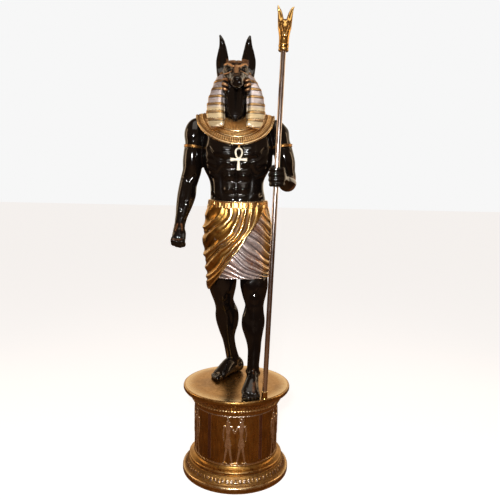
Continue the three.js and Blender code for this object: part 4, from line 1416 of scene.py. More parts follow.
    def eyes(self, carving: Carving) -> Shell:
        """Two glossy balls that stand 4 mm out of the sockets, wherever the carved skin lies there."""
        shell = Shell("eyes")
        profile = np.sin(np.linspace(0.06, math.pi - 0.06, 25))
        along = -np.cos(np.linspace(0.06, math.pi - 0.06, 25))
        for side in (-1, 1):
            x, z, radius = self.brow_middle + side * 36.0, 1639.0, 9.5
            near = np.hypot(carving.points[:, 0] - x, carving.points[:, 2] - z) < 4.0
            y = carving.points[near, 1].min() + radius - 4.0
            rows = np.array([[x, y, z, radius, radius, radius]]) * np.ones((25, 1))
            rows[:, 1] += radius * along
            rows[:, 3:] *= profile[:, None]
            shell.limb(Limb((), across=UP, sides=32).rings(rows))
        return shell

    def build(self, finishes: Finishes) -> list[bpy.types.Object]:
        """Joins, carves and dresses the head, and sets in the eyes."""
        shell = Shell("jackal_head")
        for grid in (self.SKULL.grid(), self.NECK.grid(), self.THROAT.grid(), self.ear(-1), self.ear(1)):
            shell.limb(grid)
        for side in (-1, 1):
            rows = tuple((self.brow_middle + side * x, *rest) for x, *rest in self.CHEEK)
            shell.limb(Limb(rows, sides=40, spacing=3.0).grid())
        piece = shell.publish()
        voxel_joined(piece, self.voxel)
        carving = Carving(piece)
        carving.soften(2)
        carving.relax(12)
        carving.press(self.strokes())
        on_face = (carving.points[:, 1] < -25.0) & (carving.points[:, 2] > 1540.0)
        carving.press(self.face_strokes(), on_face)
        carving.relax(2)
        carving.paint("bloom", self.bloom(carving))
        ball = self.eyes(carving).publish()
        Carving(ball).paint("bloom", np.zeros(len(ball.data.vertices)))
        return [settle(piece, Slot.FIGURE, finishes.lacquer), settle(ball, Slot.FIGURE, finishes.lacquer)]


# Dress


@dataclass(frozen=True)
class Stripes:
    """The headdress bands: each starts with a narrow roll under a crease and goes on as a broad, nearly flat band."""

    pitch: float = 42.0
    top: float = 1660.0
    lift: float = 4.2

    def share(self, z: Array) -> Array:
        """How far down its band a height lies, 0 just under the crease and 1 at the next."""
        return ((self.top - z) / self.pitch) % 1.0

    def height(self, z: Array) -> Array:
        """How far the cloth stands out: a half-round roll, then a band that slopes back to the next crease."""
        share = self.share(z)
        roll = np.sqrt(np.clip(1.0 - ((share - 0.16) / 0.17) ** 2, 0.0, 1.0))
        band = 0.55 * (1.0 - share) + 0.1
        crease = hump(share - 0.36, 0.05) + hump(share, 0.045) + hump(share - 1.0, 0.03)
        return self.lift * (np.where(share < 0.33, 0.35 + 0.65 * roll, band) - 0.35 * crease)


@dataclass(frozen=True)
class Headdress:
    """Striped cloth from behind the ears to the shoulders, its two broad ends on the chest and the tail behind."""

    stripes: Stripes = Stripes()
    step: float = 2.6

    HOOD = (
        (-35, 44, 1703, 4, 4, 4),
        (-35, 44, 1698, 30, 28, 28),
        (-35, 42, 1676, 76, 54, 46),
        (-35, 40, 1640, 98, 72, 62),
        (-34, 40, 1600, 118, 79, 74),
        (-34, 38, 1568, 128, 82, 88),
        (-33, 34, 1520, 144, 84, 96),
        (-30, 28, 1458, 153, 90, 100),
        (-29, 20, 1425, 153, 94, 92),
        (-28, 16, 1404, 136, 82, 60),
    )
    LAPPET = (
        (77, -4, 1604, 23, 14, 14),
        (91, -14, 1568, 32, 20, 20),
        (101, -32, 1520, 38, 24, 22),
        (105, -58, 1458, 43, 24, 22),
        (102, -82, 1410, 43, 20, 20),
        (95, -98, 1384, 40, 17, 17),
        (89, -104, 1368, 35, 15, 14),
        (87, -105, 1361, 31, 8, 7),
    )
    TAIL = (
        (-30, 128, 1480, 46, 16, 30),
        (-28, 134, 1400, 40, 14, 30),
        (-26, 132, 1320, 33, 12, 30),
        (-24, 128, 1250, 27, 10, 26),
        (-24, 124, 1225, 22, 6, 20),
    )

    def levels(self, top: float, bottom: float) -> Array:
        """Heights from the top down, evenly spaced."""
        return np.linspace(top, bottom, int((top - bottom) / self.step) + 1)

    def at_levels(self, rows: tuple[Row, ...], across: tuple[float, float, float], sides: int, square: float) -> Array:
        """Rings of a hanging limb at even heights, with its bands standing out."""
        table = np.array(rows, float)
        smooth = through(-table[:, 2], table, -self.levels(table[0, 2], table[-1, 2]))
        grid = Limb(rows, across=across, sides=sides, square=square).rings(smooth)
        return self.stepped(grid, smooth[:, None, :3])

    def stepped(self, grid: Array, middle: Array) -> Array:
        """Lets the bands stand out level from the middle line."""
        away = grid - middle
        away[..., 2] = 0.0
        return grid + unit(away) * self.stripes.height(grid[..., 2])[..., None]

    def hood(self) -> Shell:
        """A thick cloth, open in front: at each height the section runs from one edge of the opening round the back.

        Returns:
            The hood's surfaces.
        """
        table = np.array(self.HOOD, float)
        levels = self.levels(table[0, 2], table[-1, 2])
        rows = through(-table[:, 2], table, -levels)
        opening = 57.0 * rise(levels, 1694.0, 1640.0) + 0.5
        start = -np.arccos(np.clip(opening / rows[:, 3], 0.0, 0.98) ** (2.8 / 2.0))
        share = np.linspace(0.0, 1.0, 260)
        angle = start[:, None] + share * (math.pi - 2.0 * start)[:, None]
        cos, sin = powered(np.cos(angle), 2.8), powered(np.sin(angle), 2.8)
        depth = np.where(sin > 0.0, rows[:, 5:6], rows[:, 4:5])
        outer = np.stack(
            [rows[:, :1] + rows[:, 3:4] * cos, rows[:, 1:2] + depth * sin, np.broadcast_to(rows[:, 2:3], cos.shape)],
            axis=-1,
        )
        middle = rows[:, None, :3]
        inner = middle + (outer - middle) * (1.0 - 12.0 / np.maximum(rows[:, 3], 30.0))[:, None, None]
        inner[..., 2] = outer[..., 2]
        shell = Shell("headdress_hood")
        shell.sheet(self.stepped(outer, middle), inner)
        return shell

    def lappet(self, side: int) -> Shell:
        """One broad end on the chest, its outer edge turned back to the hood."""
        rows = tuple((-29 + side * x, *rest) for x, *rest in self.LAPPET)
        across = tuple(unit(np.array([1.0, side * 0.32, 0.0])))
        shell = Shell("headdress_end_left" if side < 0 else "headdress_end_right")
        shell.limb(self.at_levels(rows, across, 128, 3.6))
        return shell

    def tail(self) -> Shell:
        """The bound tail down the back."""
        shell = Shell("headdress_tail")
        shell.limb(self.at_levels(self.TAIL, RIGHT, 96, 3.0))
        return shell

    def build(self, finishes: Finishes) -> list[bpy.types.Object]:
        """Builds, marks and dresses the four parts."""
        pieces = []
        for shell in (self.hood(), self.lappet(-1), self.lappet(1), self.tail()):
            piece = shell.publish()
            carving = Carving(piece)
            carving.paint("band", self.stripes.share(carving.points[:, 2] + 0.01))
            carving.paint("relief", carving.relief(10, 2.2))
            pieces.append(settle(piece, Slot.FIGURE, finishes.banded))
        return pieces


@dataclass(frozen=True)
class Collar:
    """The broad collar: rows of petals and beads between plain rims, from the neck out over chest and back."""

    around: int = 840
    out: int = 84

    def height(self, angle: Array, share: Array) -> Array:
        """The relief over the collar's mean surface.

        Rims at shares 0.02, 0.5, 0.72 and 0.97; long petals within 0.05 to 0.48; beads within 0.53 to 0.7; small
        petals within 0.75 to 0.93.
        """
        rims = sum(hump(share - at, 0.028) * tall for at, tall in ((0.03, 3.0), (0.5, 3.2), (0.72, 3.0)))
        rims = rims + 4.4 * hump(share - 0.96, 0.05)
        long_petals = np.abs(np.cos(angle * 42.0)) ** 0.6 * rise(share, 0.05, 0.1) * rise(share, 0.48, 0.42)
        beads = hump(share - 0.61, 0.075) * np.abs(np.cos(angle * 60.0)) ** 0.5
        small = np.abs(np.cos(angle * 50.0 + 0.6)) * rise(share, 0.75, 0.79) * rise(share, 0.93, 0.86)
        return rims + 2.8 * long_petals + 2.6 * beads + 2.6 * small

    def build(self, finishes: Finishes) -> bpy.types.Object:
        """Builds the collar as rings across its width, closed underneath, and dresses it.

        A point at `share` of the width lies 48 + share * 157 mm from the neck's middle across, and falls as share
        and |sin|^1.05 of its angle grow, more in front than behind.
        """
        angle = (np.arange(self.around) / self.around * TURN)[:, None]
        share = np.linspace(0.0, 1.0, self.out)[None, :]
        across, back = np.cos(angle), np.sin(angle)
        front = back < 0.0
        deep = np.where(front, 138.0, 134.0)
        reach = 48.0 + share * 160.0
        start = np.where(front, 70.0, 48.0)
        reach_deep = start + share ** np.where(front, 0.65, 0.82) * (deep - start)
        fall = np.where(front, 54.0 + 110.0 * share, 20.0 + 90.0 * share)
        high = 1458.0 - 21.0 * share**2.5 - fall * np.abs(back) ** 1.05
        shift = np.where(front, 20.0 * back**2 * share, 0.0)
        base = np.stack([-33.0 + reach * across + shift, 8.0 + reach_deep * back, high], axis=-1)
        normal = unit(np.cross(np.gradient(base, axis=1), np.roll(base, -1, axis=0) - np.roll(base, 1, axis=0)))
        normal *= np.sign(normal[..., 2:3].mean())
        top = base + normal * self.height(angle, share)[..., None]
        under = (base - normal * (4.0 + 12.0 * np.sin(math.pi * share))[..., None])[:, ::-1][:, ::6]
        shell = Shell("broad_collar")
        shell.tyre(np.concatenate([top, under], axis=1))
        piece = shell.publish()
        carving = Carving(piece)
        carving.paint("relief", carving.relief(8, 1.1))
        return settle(piece, Slot.FIGURE, finishes.dress_gold)


@dataclass(frozen=True)
class Pendant:
    """A looped cross with flared arms on the chest, and the bail that hangs it."""

    x: float = -8.0
    y: float = -127.0
    z: float = 1200.0
    thick: float = 5.0

    def bar(self, start: Row, end: Row, narrow: float, wide: float) -> Array:
        """A flat arm that flares from `narrow` to `wide`, with rounded edges."""
        path = np.linspace(np.array(start), np.array(end), 24)
        width = np.linspace(narrow, wide, 24)
        width[0] *= 0.7
        depth = np.full(24, self.thick)
        depth[[0, -1]] *= 0.6
        rows = np.column_stack([path, width, depth, depth])
        direction = unit(np.array(end, float) - np.array(start, float))
        across = np.cross(direction, np.array(FRONT))
        return Limb((), across=tuple(across), sides=40, square=4.5).rings(rows)

    def loop(self) -> Array:
        """The loop: a flat ring along x = 16 sin t * (1 - 0.25 cos t), z = 32 - 27 cos t."""
        t = np.arange(96) / 96 * TURN
        pinch = 1.0 - 0.22 * np.cos(t)
        centre = np.stack([self.x + 16.5 * np.sin(t) * pinch, np.full(96, self.y), self.z + 31.0 - 25.0 * np.cos(t)], 1)
        along = unit(np.roll(centre, -1, 0) - np.roll(centre, 1, 0))
        side = np.cross(along, np.array(FRONT))
        turn = np.arange(20) / 20 * TURN
        cos, sin = powered(np.cos(turn), 3.5), powered(np.sin(turn), 3.5)
        return (
            centre[:, None]
            + side[:, None] * (4.4 * cos)[None, :, None]
            + np.array(FRONT) * (self.thick * sin)[None, :, None]
        )

    def build(self, finishes: Finishes) -> list[bpy.types.Object]:
        """Builds the cross from its arms and loop, joined, and the bail."""
        x, y, z = self.x, self.y, self.z
        shell = Shell("pendant_cross")
        shell.limb(self.bar((x, y, z + 6), (x, y - 2, z - 54), 5.0, 9.5))
        shell.limb(self.bar((x - 2, y, z), (x + 43, y + 1, z), 4.6, 9.0))
        shell.limb(self.bar((x + 2, y, z), (x - 43, y + 1, z), 4.6, 9.0))
        shell.tyre(self.loop())
        cross = shell.publish()
        voxel_joined(cross, 1.3)
        carving = Carving(cross)
        carving.soften(2)
        carving.relax(3)
        carving.paint("relief", carving.relief(10, 0.8))
        bail = Shell("pendant_bail")
        rows = ((x, y + 8, 1258, 3, 5, 5), (x, y, 1261, 6, 5, 5), (x, y - 1, 1268, 6, 4, 4), (x, y + 8, 1274, 3, 4, 4))
        bail.limb(Limb(rows, sides=24, spacing=1.5).grid())
        hook = bail.publish()
        Carving(hook).paint("relief", np.full(len(hook.data.vertices), 0.6))
        return [settle(cross, Slot.FIGURE, finishes.ivory), settle(hook, Slot.FIGURE, finishes.dress_gold)]


@dataclass(frozen=True)
class Armlets:
    """The plain gold bands round the upper arms."""

    BANDS = (("armlet_left", -251.0, 1272.0, 48.0, -0.1), ("armlet_right", 217.0, 1283.0, 51.0, 0.14))

    def build(self, finishes: Finishes) -> list[bpy.types.Object]:
        """Each band is a section with two rims, x^6 + z^6 round, carried about the arm and tilted with it."""
        pieces = []
        turn = np.arange(192) / 192 * TURN
        section = np.array([(0, 7), (3, 6.6), (3.6, 4.6), (2.4, 3.4), (2.4, 0), (2.4, -3.4), (3.6, -4.6), (3, -6.6), (0, -7), (-6, -6), (-6, 6)])
        for name, x, z, reach, lean in self.BANDS:
            out, high = section.T
            across = (reach + out)[None, :] * np.cos(turn)[:, None]
            back = (58.0 + out)[None, :] * np.sin(turn)[:, None]
            grid = np.stack([x + across, 9.0 + back, z + high[None, :] + across * lean], axis=-1)
            shell = Shell(name)
            shell.tyre(grid)
            piece = shell.publish()
            Carving(piece).paint("relief", np.full(len(piece.data.vertices), 0.56))
            pieces.append(settle(piece, Slot.FIGURE, finishes.dress_gold))
        return pieces


@dataclass(frozen=True)
class Kilt:
    """Wrapped kilt: a gold outer cloth drawn to the left hip over a plainer inner cloth of silver and copper."""

    top: float = 968.0
    hem: float = 590.0
    tip: float = 523.0
    hip: tuple[float, float] = (-172.0, 972.0)

    ROWS = (
        (-11, 6, 990, 150, 104, 96),
        (-11, 6, 965, 160, 112, 104),
        (-10, 8, 915, 171, 118, 118),
        (-10, 10, 870, 179, 127, 128),
        (-9, 13, 781, 182, 141, 142),
        (-7, 17, 700, 178, 148, 148),
        (-4, 20, 640, 172, 150, 146),
        (-3, 20, 590, 168, 150, 142),
        (-3, 20, 520, 160, 146, 136),
    )
    EDGE_HEIGHTS = (523.0, 560.0, 595.0, 656.0, 734.0, 801.0, 870.0, 933.0, 968.0)
    EDGE_ANGLES = (155.4, 136.0, 121.3, 104.8, 88.6, 77.7, 61.0, 43.5, 28.0)
    EDGE_REACH = ((0.0, 288.0), (20.0, 272.0), (39.0, 268.0), (54.5, 290.0), (70.0, 334.0), (79.0, 384.0), (90.0, 452.0))

    def surface(self, angle: Array, z: Array) -> tuple[Array, Array]:
        """The smooth cloth: an oval section whose width and depths follow the rows.

        Args:
            angle: 0 at the right, a quarter turn in front, a half at the left, in radians.
            z: height.

        Returns:
            Points, and the level way out from them.
        """
        table = np.array(self.ROWS, float)
        flat = through(-table[:, 2], table, -np.clip(z, 520.0, 990.0).ravel())
        rows = flat.reshape(*z.shape, 6)
        cos, sin = powered(np.cos(angle), 2.3), powered(np.sin(angle), 2.3)
        depth = np.where(sin > 0.0, rows[..., 4], rows[..., 5])
        points = np.stack([rows[..., 0] + rows[..., 3] * cos, rows[..., 1] - depth * sin, z], axis=-1)
        out = np.stack([cos / rows[..., 3], -sin / depth, np.zeros_like(z)], axis=-1)
        return points, unit(out)

    def pull(self, points: Array) -> Array:
        """How far a point is from the hip that the outer cloth is drawn to, as a share of the way to its edge."""
        across = points[..., 0] - self.hip[0]
        down = self.hip[1] - points[..., 2]
        bearing = np.degrees(np.arctan2(np.maximum(down, 0.0), np.maximum(across, 1.0)))
        reach = np.interp(bearing, *np.array(self.EDGE_REACH).T)
        share = np.hypot(across, down) / reach
        return share - 0.12 * np.sin(np.radians(np.minimum(bearing, 84.0)) * 2.0) * hump(share - 0.7, 0.5)

    def wrap_rise(self, points: Array) -> Array:
        """Folds of the outer cloth: rounded ridges between narrow furrows, with finer ones on them, and a hem roll."""
        share = self.pull(points)
        x, z = points[..., 0], points[..., 2]
        wander = 0.16 * np.sin(0.021 * x + 0.013 * z) + 0.1 * np.sin(0.05 * z - 0.02 * x + 1.3)
        phase = share * 7.2 + wander
        loose = 0.35 + 0.65 * rise(self.top - z, 0.0, 90.0)
        main = 4.6 * ripple(phase, 1.5)
        fine = 1.5 * ripple(phase * 2.37 + 0.3, 1.2) * (0.5 + 0.5 * np.sin(3.1 * phase))
        roll = rise(share, 0.86, 0.92)
        return loose * (1.0 - roll) * (main + fine) + roll * 5.5 * np.sqrt(np.clip(1.0 - ((share - 0.96) / 0.1) ** 2, 0.0, 1.0))

    def under_rise(self, points: Array) -> Array:
        """Folds of the inner cloth: they leave the outer cloth's edge steeply and flatten out near the hem."""
        x, z = points[..., 0], points[..., 2]
        over_hem = z - self.hem
        level = over_hem + 92.0 * (1.0 - np.exp(-np.maximum(over_hem, -20.0) / 36.0)) + 0.85 * x
        wander = 5.0 * np.sin(0.045 * x) + 4.0 * np.sin(0.06 * z + 0.02 * x)
        phase = (level + wander) / 50.0
        loose = 0.3 + 0.7 * rise(self.top - z, 10.0, 110.0)
        return loose * (4.4 * ripple(phase, 1.7) + 1.5 * ripple(phase * 2.2 + 0.2, 1.4))

    def under(self) -> Shell:
        """The inner cloth as a closed thick tube."""
        angle, z = np.meshgrid(np.arange(520) / 520 * TURN, np.linspace(self.top + 12.0, self.hem, 150))
        points, out = self.surface(angle, z)
        outer = points + out * (self.under_rise(points) - 6.0)[..., None]
        lip = 5.0 * hump(z - self.hem, 14.0)
        outer += out * lip[..., None] * 0.5
        inner = points - out * 22.0
        shell = Shell("kilt_inner_cloth")
        shell.tyre(np.concatenate([outer, inner[::-1][::5]], axis=0).transpose(1, 0, 2))
        return shell

    def wrap(self) -> Shell:
        """The outer cloth as a thick sheet from its slanting edge, round the left side and back, to the right."""
        share, down = np.meshgrid(np.linspace(0.0, 1.0, 430), np.linspace(0.0, 1.0, 190))
        low = self.tip + (self.hem - self.tip - 4.0) * rise(share, 0.0, 0.2)
        z = self.top + 6.0 - (self.top + 6.0 - low) * down
        edge = np.interp(self.top - (self.top - self.tip) * down, self.EDGE_HEIGHTS, self.EDGE_ANGLES)
        angle = np.radians(edge + (352.0 - edge) * share)
        points, out = self.surface(angle, z)
        lift = self.wrap_rise(points) * rise(share, -0.02, 0.01) + 4.0
        outer = points + out * lift[..., None]
        inner = points - out * 4.0
        shell = Shell("kilt_outer_cloth")
        shell.sheet(outer, inner)
        return shell

    def build(self, finishes: Finishes) -> list[bpy.types.Object]:
        """Builds, marks and dresses both cloths."""
        pieces = []
        for shell, finish in ((self.under(), finishes.pewter), (self.wrap(), finishes.cloth_gold)):
            piece = shell.publish()
            carving = Carving(piece)
            # On both cloths, the relief of the folds gives painted highlights on the crests and painted shade in the
            # hollows.
            carving.paint("relief", carving.relief(40, 3.4))
            points = carving.points
            front = rise(-points[:, 1], 40.0, 110.0) * rise(152.0 - points[:, 0], 0.0, 36.0)
            carving.paint("front", front)
            pieces.append(settle(piece, Slot.FIGURE, finish))
        return pieces


@dataclass(frozen=True)
class Belt:
    """A gathered band round the hips, dipping a little in front, with a plain cord along its top."""

    pleats: int = 23

    def build(self, finishes: Finishes) -> bpy.types.Object:
        """The band's section is carried round the hips' oval; box pleats stand 3 mm proud of it."""
        angle, up = np.meshgrid(np.arange(920) / 920 * TURN, np.linspace(0.0, 1.0, 44))
        cos, sin = powered(np.cos(angle), 2.3), powered(np.sin(angle), 2.3)
        depth = np.where(sin > 0.0, 113.0, 108.0)
        pleat = rise(ripple(angle * self.pleats / TURN + 0.02 * np.sin(5 * angle)), -0.55, 0.15)
        crimp = 0.35 * ripple(angle * self.pleats * 3.0 / TURN)
        body = rise(up, 0.0, 0.08) * rise(up, 1.0, 0.93)
        field = rise(up, 0.04, 0.14) * rise(up, 0.86, 0.8)
        lift = 3.0 * body + field * (3.2 * pleat + crimp) + 3.4 * hump(up - 0.92, 0.07)
        z = 954.0 + 46.0 * up - 11.0 * np.maximum(0.0, sin) ** 2 * (0.35 + 0.65 * up)
        x = -11.0 + (153.0 + lift + 2.0 * (1.0 - up)) * cos
        y = 6.0 - (depth + lift + 3.0 * (1.0 - up)) * sin
        outer = np.stack([x, y, z], axis=-1)
        inner = np.stack([-11.0 + 140.0 * cos, 6.0 - (depth - 14.0) * sin, z], axis=-1)
        shell = Shell("belt")
        shell.tyre(np.concatenate([outer, inner[::-1][::8]], axis=0).transpose(1, 0, 2))
        piece = shell.publish()
        carving = Carving(piece)
        carving.paint("relief", carving.relief(14, 1.5))
        return settle(piece, Slot.FIGURE, finishes.dress_gold)


# Plinth


@dataclass(frozen=True)
class Walker:
    """One striding relief figure, drawn with tapering strokes; x runs forward and y up from its feet."""

    crown: str

    PARTS = (
        (-2, 112, 9, -19, 14, 5.5, 3.4),
        (3, 112, 9, 20, 14, 5.5, 4.2),
        (-25, 5, 4.6, -5, 3.6, 3.0, 3.0),
        (15, 5, 4.6, 36, 3.6, 3.0, 3.6),
        (0, 146, 10, 0, 102, 19, 5.0),
        (0, 150, 9, 1, 194, 15, 5.0),
        (-19, 198, 6.5, 19, 198, 6.5, 5.2),
        (-20, 196, 5.5, -26, 160, 4.4, 5.8),
        (-26, 160, 4.4, -22, 122, 3.6, 5.6),
        (19, 196, 5.5, 30, 168, 4.4, 6.4),
        (30, 168, 4.4, 46, 190, 3.6, 6.4),
        (1, 204, 6, 4, 220, 8.5, 5.4),
        (6, 219, 5, 12, 217, 2.8, 5.0),
        (-3, 226, 7.5, -8, 202, 6.5, 5.8),
    )
    TALL = ((0, 228, 7, -3, 242, 4.5, 5.0), (-3, 242, 4.5, -4, 247, 2.4, 5.0))
    DISC = ((0, 238, 8.5, 0.1, 238, 8.5, 5.4), (-13, 232, 2, -12, 248, 1.4, 4.4), (12, 232, 2, 11, 248, 1.4, 4.4))

    def height(self, x: Array, y: Array) -> Array:
        """The relief at points of the panel: each part stands its own height, with an edge rounded over 3 mm.

        A part is a start with its radius, an end with its radius, and a height. A point's depth inside a part is the
        radius there less its distance from the part's line.
        """
        best = np.zeros_like(x)
        extra = self.TALL if self.crown == "tall" else self.DISC
        for x0, y0, r0, x1, y1, r1, tall in self.PARTS + extra:
            run = np.array([x1 - x0, y1 - y0], float)
            share = np.clip(((x - x0) * run[0] + (y - y0) * run[1]) / (run @ run), 0.0, 1.0)
            distance = np.hypot(x - x0 - share * run[0], y - y0 - share * run[1])
            inside = r0 + (r1 - r0) * share - distance
            best = np.maximum(best, tall * rise(inside, -0.8, 3.4))
        kilt = rise(110.0 - y, 0.0, 8.0) * rise(y, 96.0, 100.0) * (np.abs(x) < 21.0)
        return best + 0.5 * kilt * ripple(x / 6.0) * (best > 2.0)


@dataclass(frozen=True)
class Plinth:
    """The gilt plinth: turned mouldings with carved rows, a drum with five relief panels, and a stroked foot band."""

    panels: int = 5

    LOWER = ((0, 0), (284, 0), (288.5, 2), (290, 7), (290, 24), (288, 30), (282, 34), (275, 36), (273, 38))
    MIDDLE = ((256, 74), (253.5, 75.5), (251, 77), (250.5, 79), (253, 80.5), (255, 85), (254.5, 91), (251, 95), (245, 97.5), (239, 99), (233, 102), (227, 108), (224.5, 114), (224, 119))
    UPPER = ((224, 380), (227, 381), (232, 384), (234, 387), (235, 396), (236.5, 398), (241, 401), (243, 404), (243, 416), (245, 419), (248, 424), (262, 438), (275, 448), (283, 452.5), (284, 455), (287.5, 458), (290, 463), (290, 471), (288, 477), (284.5, 479.7), (278, 480), (0, 480))

    @staticmethod
    def turned(profile: Array, sides: int, lift: Array | None = None) -> Array:
        """Rings of a turned shape, with `lift` added outward for each ring and side."""
        angle = np.arange(sides) / sides * TURN - math.pi / 2.0
        radius = profile[:, :1] + (0.0 if lift is None else lift)
        height = np.broadcast_to(profile[:, 1:2], (len(profile), sides)) - PLINTH_TOP
        return np.stack([radius * np.cos(angle), radius * np.sin(angle), height], axis=-1)

    @staticmethod
    def fine(profile: Sequence[Row], step: float) -> Array:
        """A profile with points added so that none are further apart than `step`."""
        knots = np.array(profile, float)
        counts = np.maximum(1, np.ceil(np.linalg.norm(np.diff(knots, axis=0), axis=1) / step)).astype(int)
        parts = [np.linspace(a, b, n, endpoint=False) for a, b, n in zip(knots[:-1], knots[1:], counts)]
        return np.vstack([*parts, knots[-1:]])

    def drum(self) -> tuple[Array, Array, Array]:
        """The drum between its mouldings: strips between panels and a facing pair of walkers in each panel.

        Returns:
            Profile, outward lift for each ring and side, and the mask of the strips.
        """
        sides = 800
        profile = np.column_stack([np.full(131, DRUM_RADIUS), np.linspace(119.0, 380.0, 131)])
        turn = (np.arange(sides) / sides * TURN)[None, :]
        height = profile[:, 1:2]
        sector = TURN / self.panels
        local = (turn + sector / 2.0) % sector - sector / 2.0
        along = local * DRUM_RADIUS
        edge = np.abs(np.abs(along) - sector / 2.0 * DRUM_RADIUS)
        strip = rise(11.5 - edge, 0.0, 2.0) * rise(height, 134.0, 137.0) * rise(376.0 - height, 0.0, 3.0)
        lift = 2.6 * strip - 0.8 * strip * hump(edge, 7.0)
        along, up = np.broadcast_arrays(along, height - 124.0)
        left = Walker("tall").height(along + 34.0, up)
        right = Walker("disc").height(34.0 - along, up)
        base_line = 1.6 * hump(up + 1.0, 2.5) * (np.abs(along) < 84.0)
        lift = lift + np.maximum(np.maximum(left, right), base_line)
        fillets = 1.5 * hump(height - 374.0, 3.0) * np.ones_like(turn)
        return profile, np.maximum(lift, fillets), strip

    def upper_lift(self, profile: Array, sides: int) -> Array:
        """Beads on the fillet at 404 to 416, and a row of upright leaves on the hollow above them."""
        turn = (np.arange(sides) / sides * TURN)[None, :]
        height = profile[:, 1:2]
        bead = hump(height - 410.0, 6.5) * np.sqrt(np.abs(np.cos(turn * 48.0)))
        leaf_share = np.clip((height - 420.0) / 30.0, 0.0, 1.0)
        wave = np.abs(np.cos(turn * 36.0))
        leaf = rise(wave - 0.75 * leaf_share**2, 0.0, 0.3) * rise(height, 418.0, 422.0) * rise(452.0 - height, 0.0, 4.0)
        return 3.4 * bead + 2.4 * leaf

    def foot_band(self, profile: Array, sides: int) -> Array:
        """Upright strokes on the sloping band: short and long bars of several widths, set by a repeating count."""
        turn = np.arange(sides) / sides * TURN
        height = profile[:, 1:2]
        cell = turn / TURN * 76.0
        number = np.floor(cell)
        inside = cell - number
        width = 0.2 + 0.16 * np.sin(number * 2.4) ** 2
        low = 41.0 + 7.0 * np.sin(number * 1.7 + 0.5) ** 2
        high = 70.0 - 8.0 * np.sin(number * 3.1 + 1.1) ** 2
        bar = rise(width - np.abs(inside - 0.5), 0.0, 0.1)[None, :]
        bar = bar * rise(height - low[None, :], 0.0, 3.0) * rise(high[None, :] - height, 0.0, 3.0)
        foot = (number % 3 == 0)[None, :] * rise(0.44 - np.abs(inside - 0.5), 0.0, 0.1)[None, :]
        foot = foot * hump(height - low[None, :] - 5.0, 4.5)
        head = (number % 4 == 1)[None, :] * rise(0.42 - np.abs(inside - 0.5), 0.0, 0.1)[None, :]
        head = head * hump(height - high[None, :] + 5.0, 4.5)
        return 3.0 * np.maximum(np.maximum(bar, foot), head)

    def build(self, finishes: Finishes) -> list[bpy.types.Object]:
        """Builds the plinth in three stacked pieces that meet on plain rings: foot, drum and cap."""
        lower = self.fine(self.LOWER, 5.0)
        band = self.fine(((273, 38), (256, 74)), 1.3)
        middle = self.fine(self.MIDDLE, 2.2)
        foot_profile = np.vstack([lower[:-1], band[:-1], middle, [[0.0, 119.0]]])
        sides = 760
        lift = np.zeros((len(foot_profile), sides))
        on_band = slice(len(lower) - 1, len(lower) - 1 + len(band))
        lift[on_band] = self.foot_band(foot_profile[on_band], sides)
        cap_profile = np.vstack([[[0.0, 380.0]], self.fine(self.UPPER, 2.6)[:-60], [[278.0, 480.0], [140.0, 480.0], [0.0, 480.0]]])
        cap_profile = np.vstack([[[0.0, 380.0]], self.fine(self.UPPER[:-1], 2.4), [[200.0, 480.0], [100.0, 480.0], [0.5, 480.0]]])
        drum_profile, drum_lift, strip = self.drum()
        drum_profile = np.vstack([[[0.0, 119.0]], drum_profile, [[0.0, 380.0]]])
        drum_lift = np.pad(drum_lift, ((1, 1), (0, 0)))
        strip = np.pad(strip, ((1, 1), (0, 0)))
        pieces = []
        for name, profile, raised in (
            ("plinth_foot", foot_profile, lift),
            ("plinth_drum", drum_profile, drum_lift),
            ("plinth_cap", cap_profile, self.upper_lift(cap_profile, 576)),
        ):
            raised = np.where(profile[:, :1] < 1.0, 0.0, raised)
            profile = np.maximum(profile, [[0.5, 0.0]])
            shell = Shell(name)
            shell.limb(self.turned(profile, raised.shape[1], raised))
            piece = shell.publish()
            carving = Carving(piece)
            relief = np.concatenate([np.clip(0.5 + 0.42 * raised.ravel() / 3.4, 0.0, 1.0), [0.5, 0.5]])
            edges = carving.relief(6, 0.9)
            ground = np.zeros(len(relief))
            marks = np.zeros(len(relief))
            if name == "plinth_drum":
                marks[: strip.size] = strip.ravel()
                ground[:] = 1.0
                relief = np.where(marks > 0.3, 0.5, relief)
                relief = 0.55 * relief + 0.45 * edges
            elif name == "plinth_foot":
                ground[: raised.size].reshape(raised.shape)[on_band] = 1.0
                relief = np.where(ground > 0.5, relief - 0.16, 0.35 * relief + 0.65 * edges)
            else:
                relief = 0.5 * relief + 0.5 * edges
            carving.paint("relief", relief)
            carving.paint("strip", marks)
            carving.paint("ground", ground)
            pieces.append(settle(piece, Slot.PLINTH, finishes.plinth))
        return pieces


# Staff


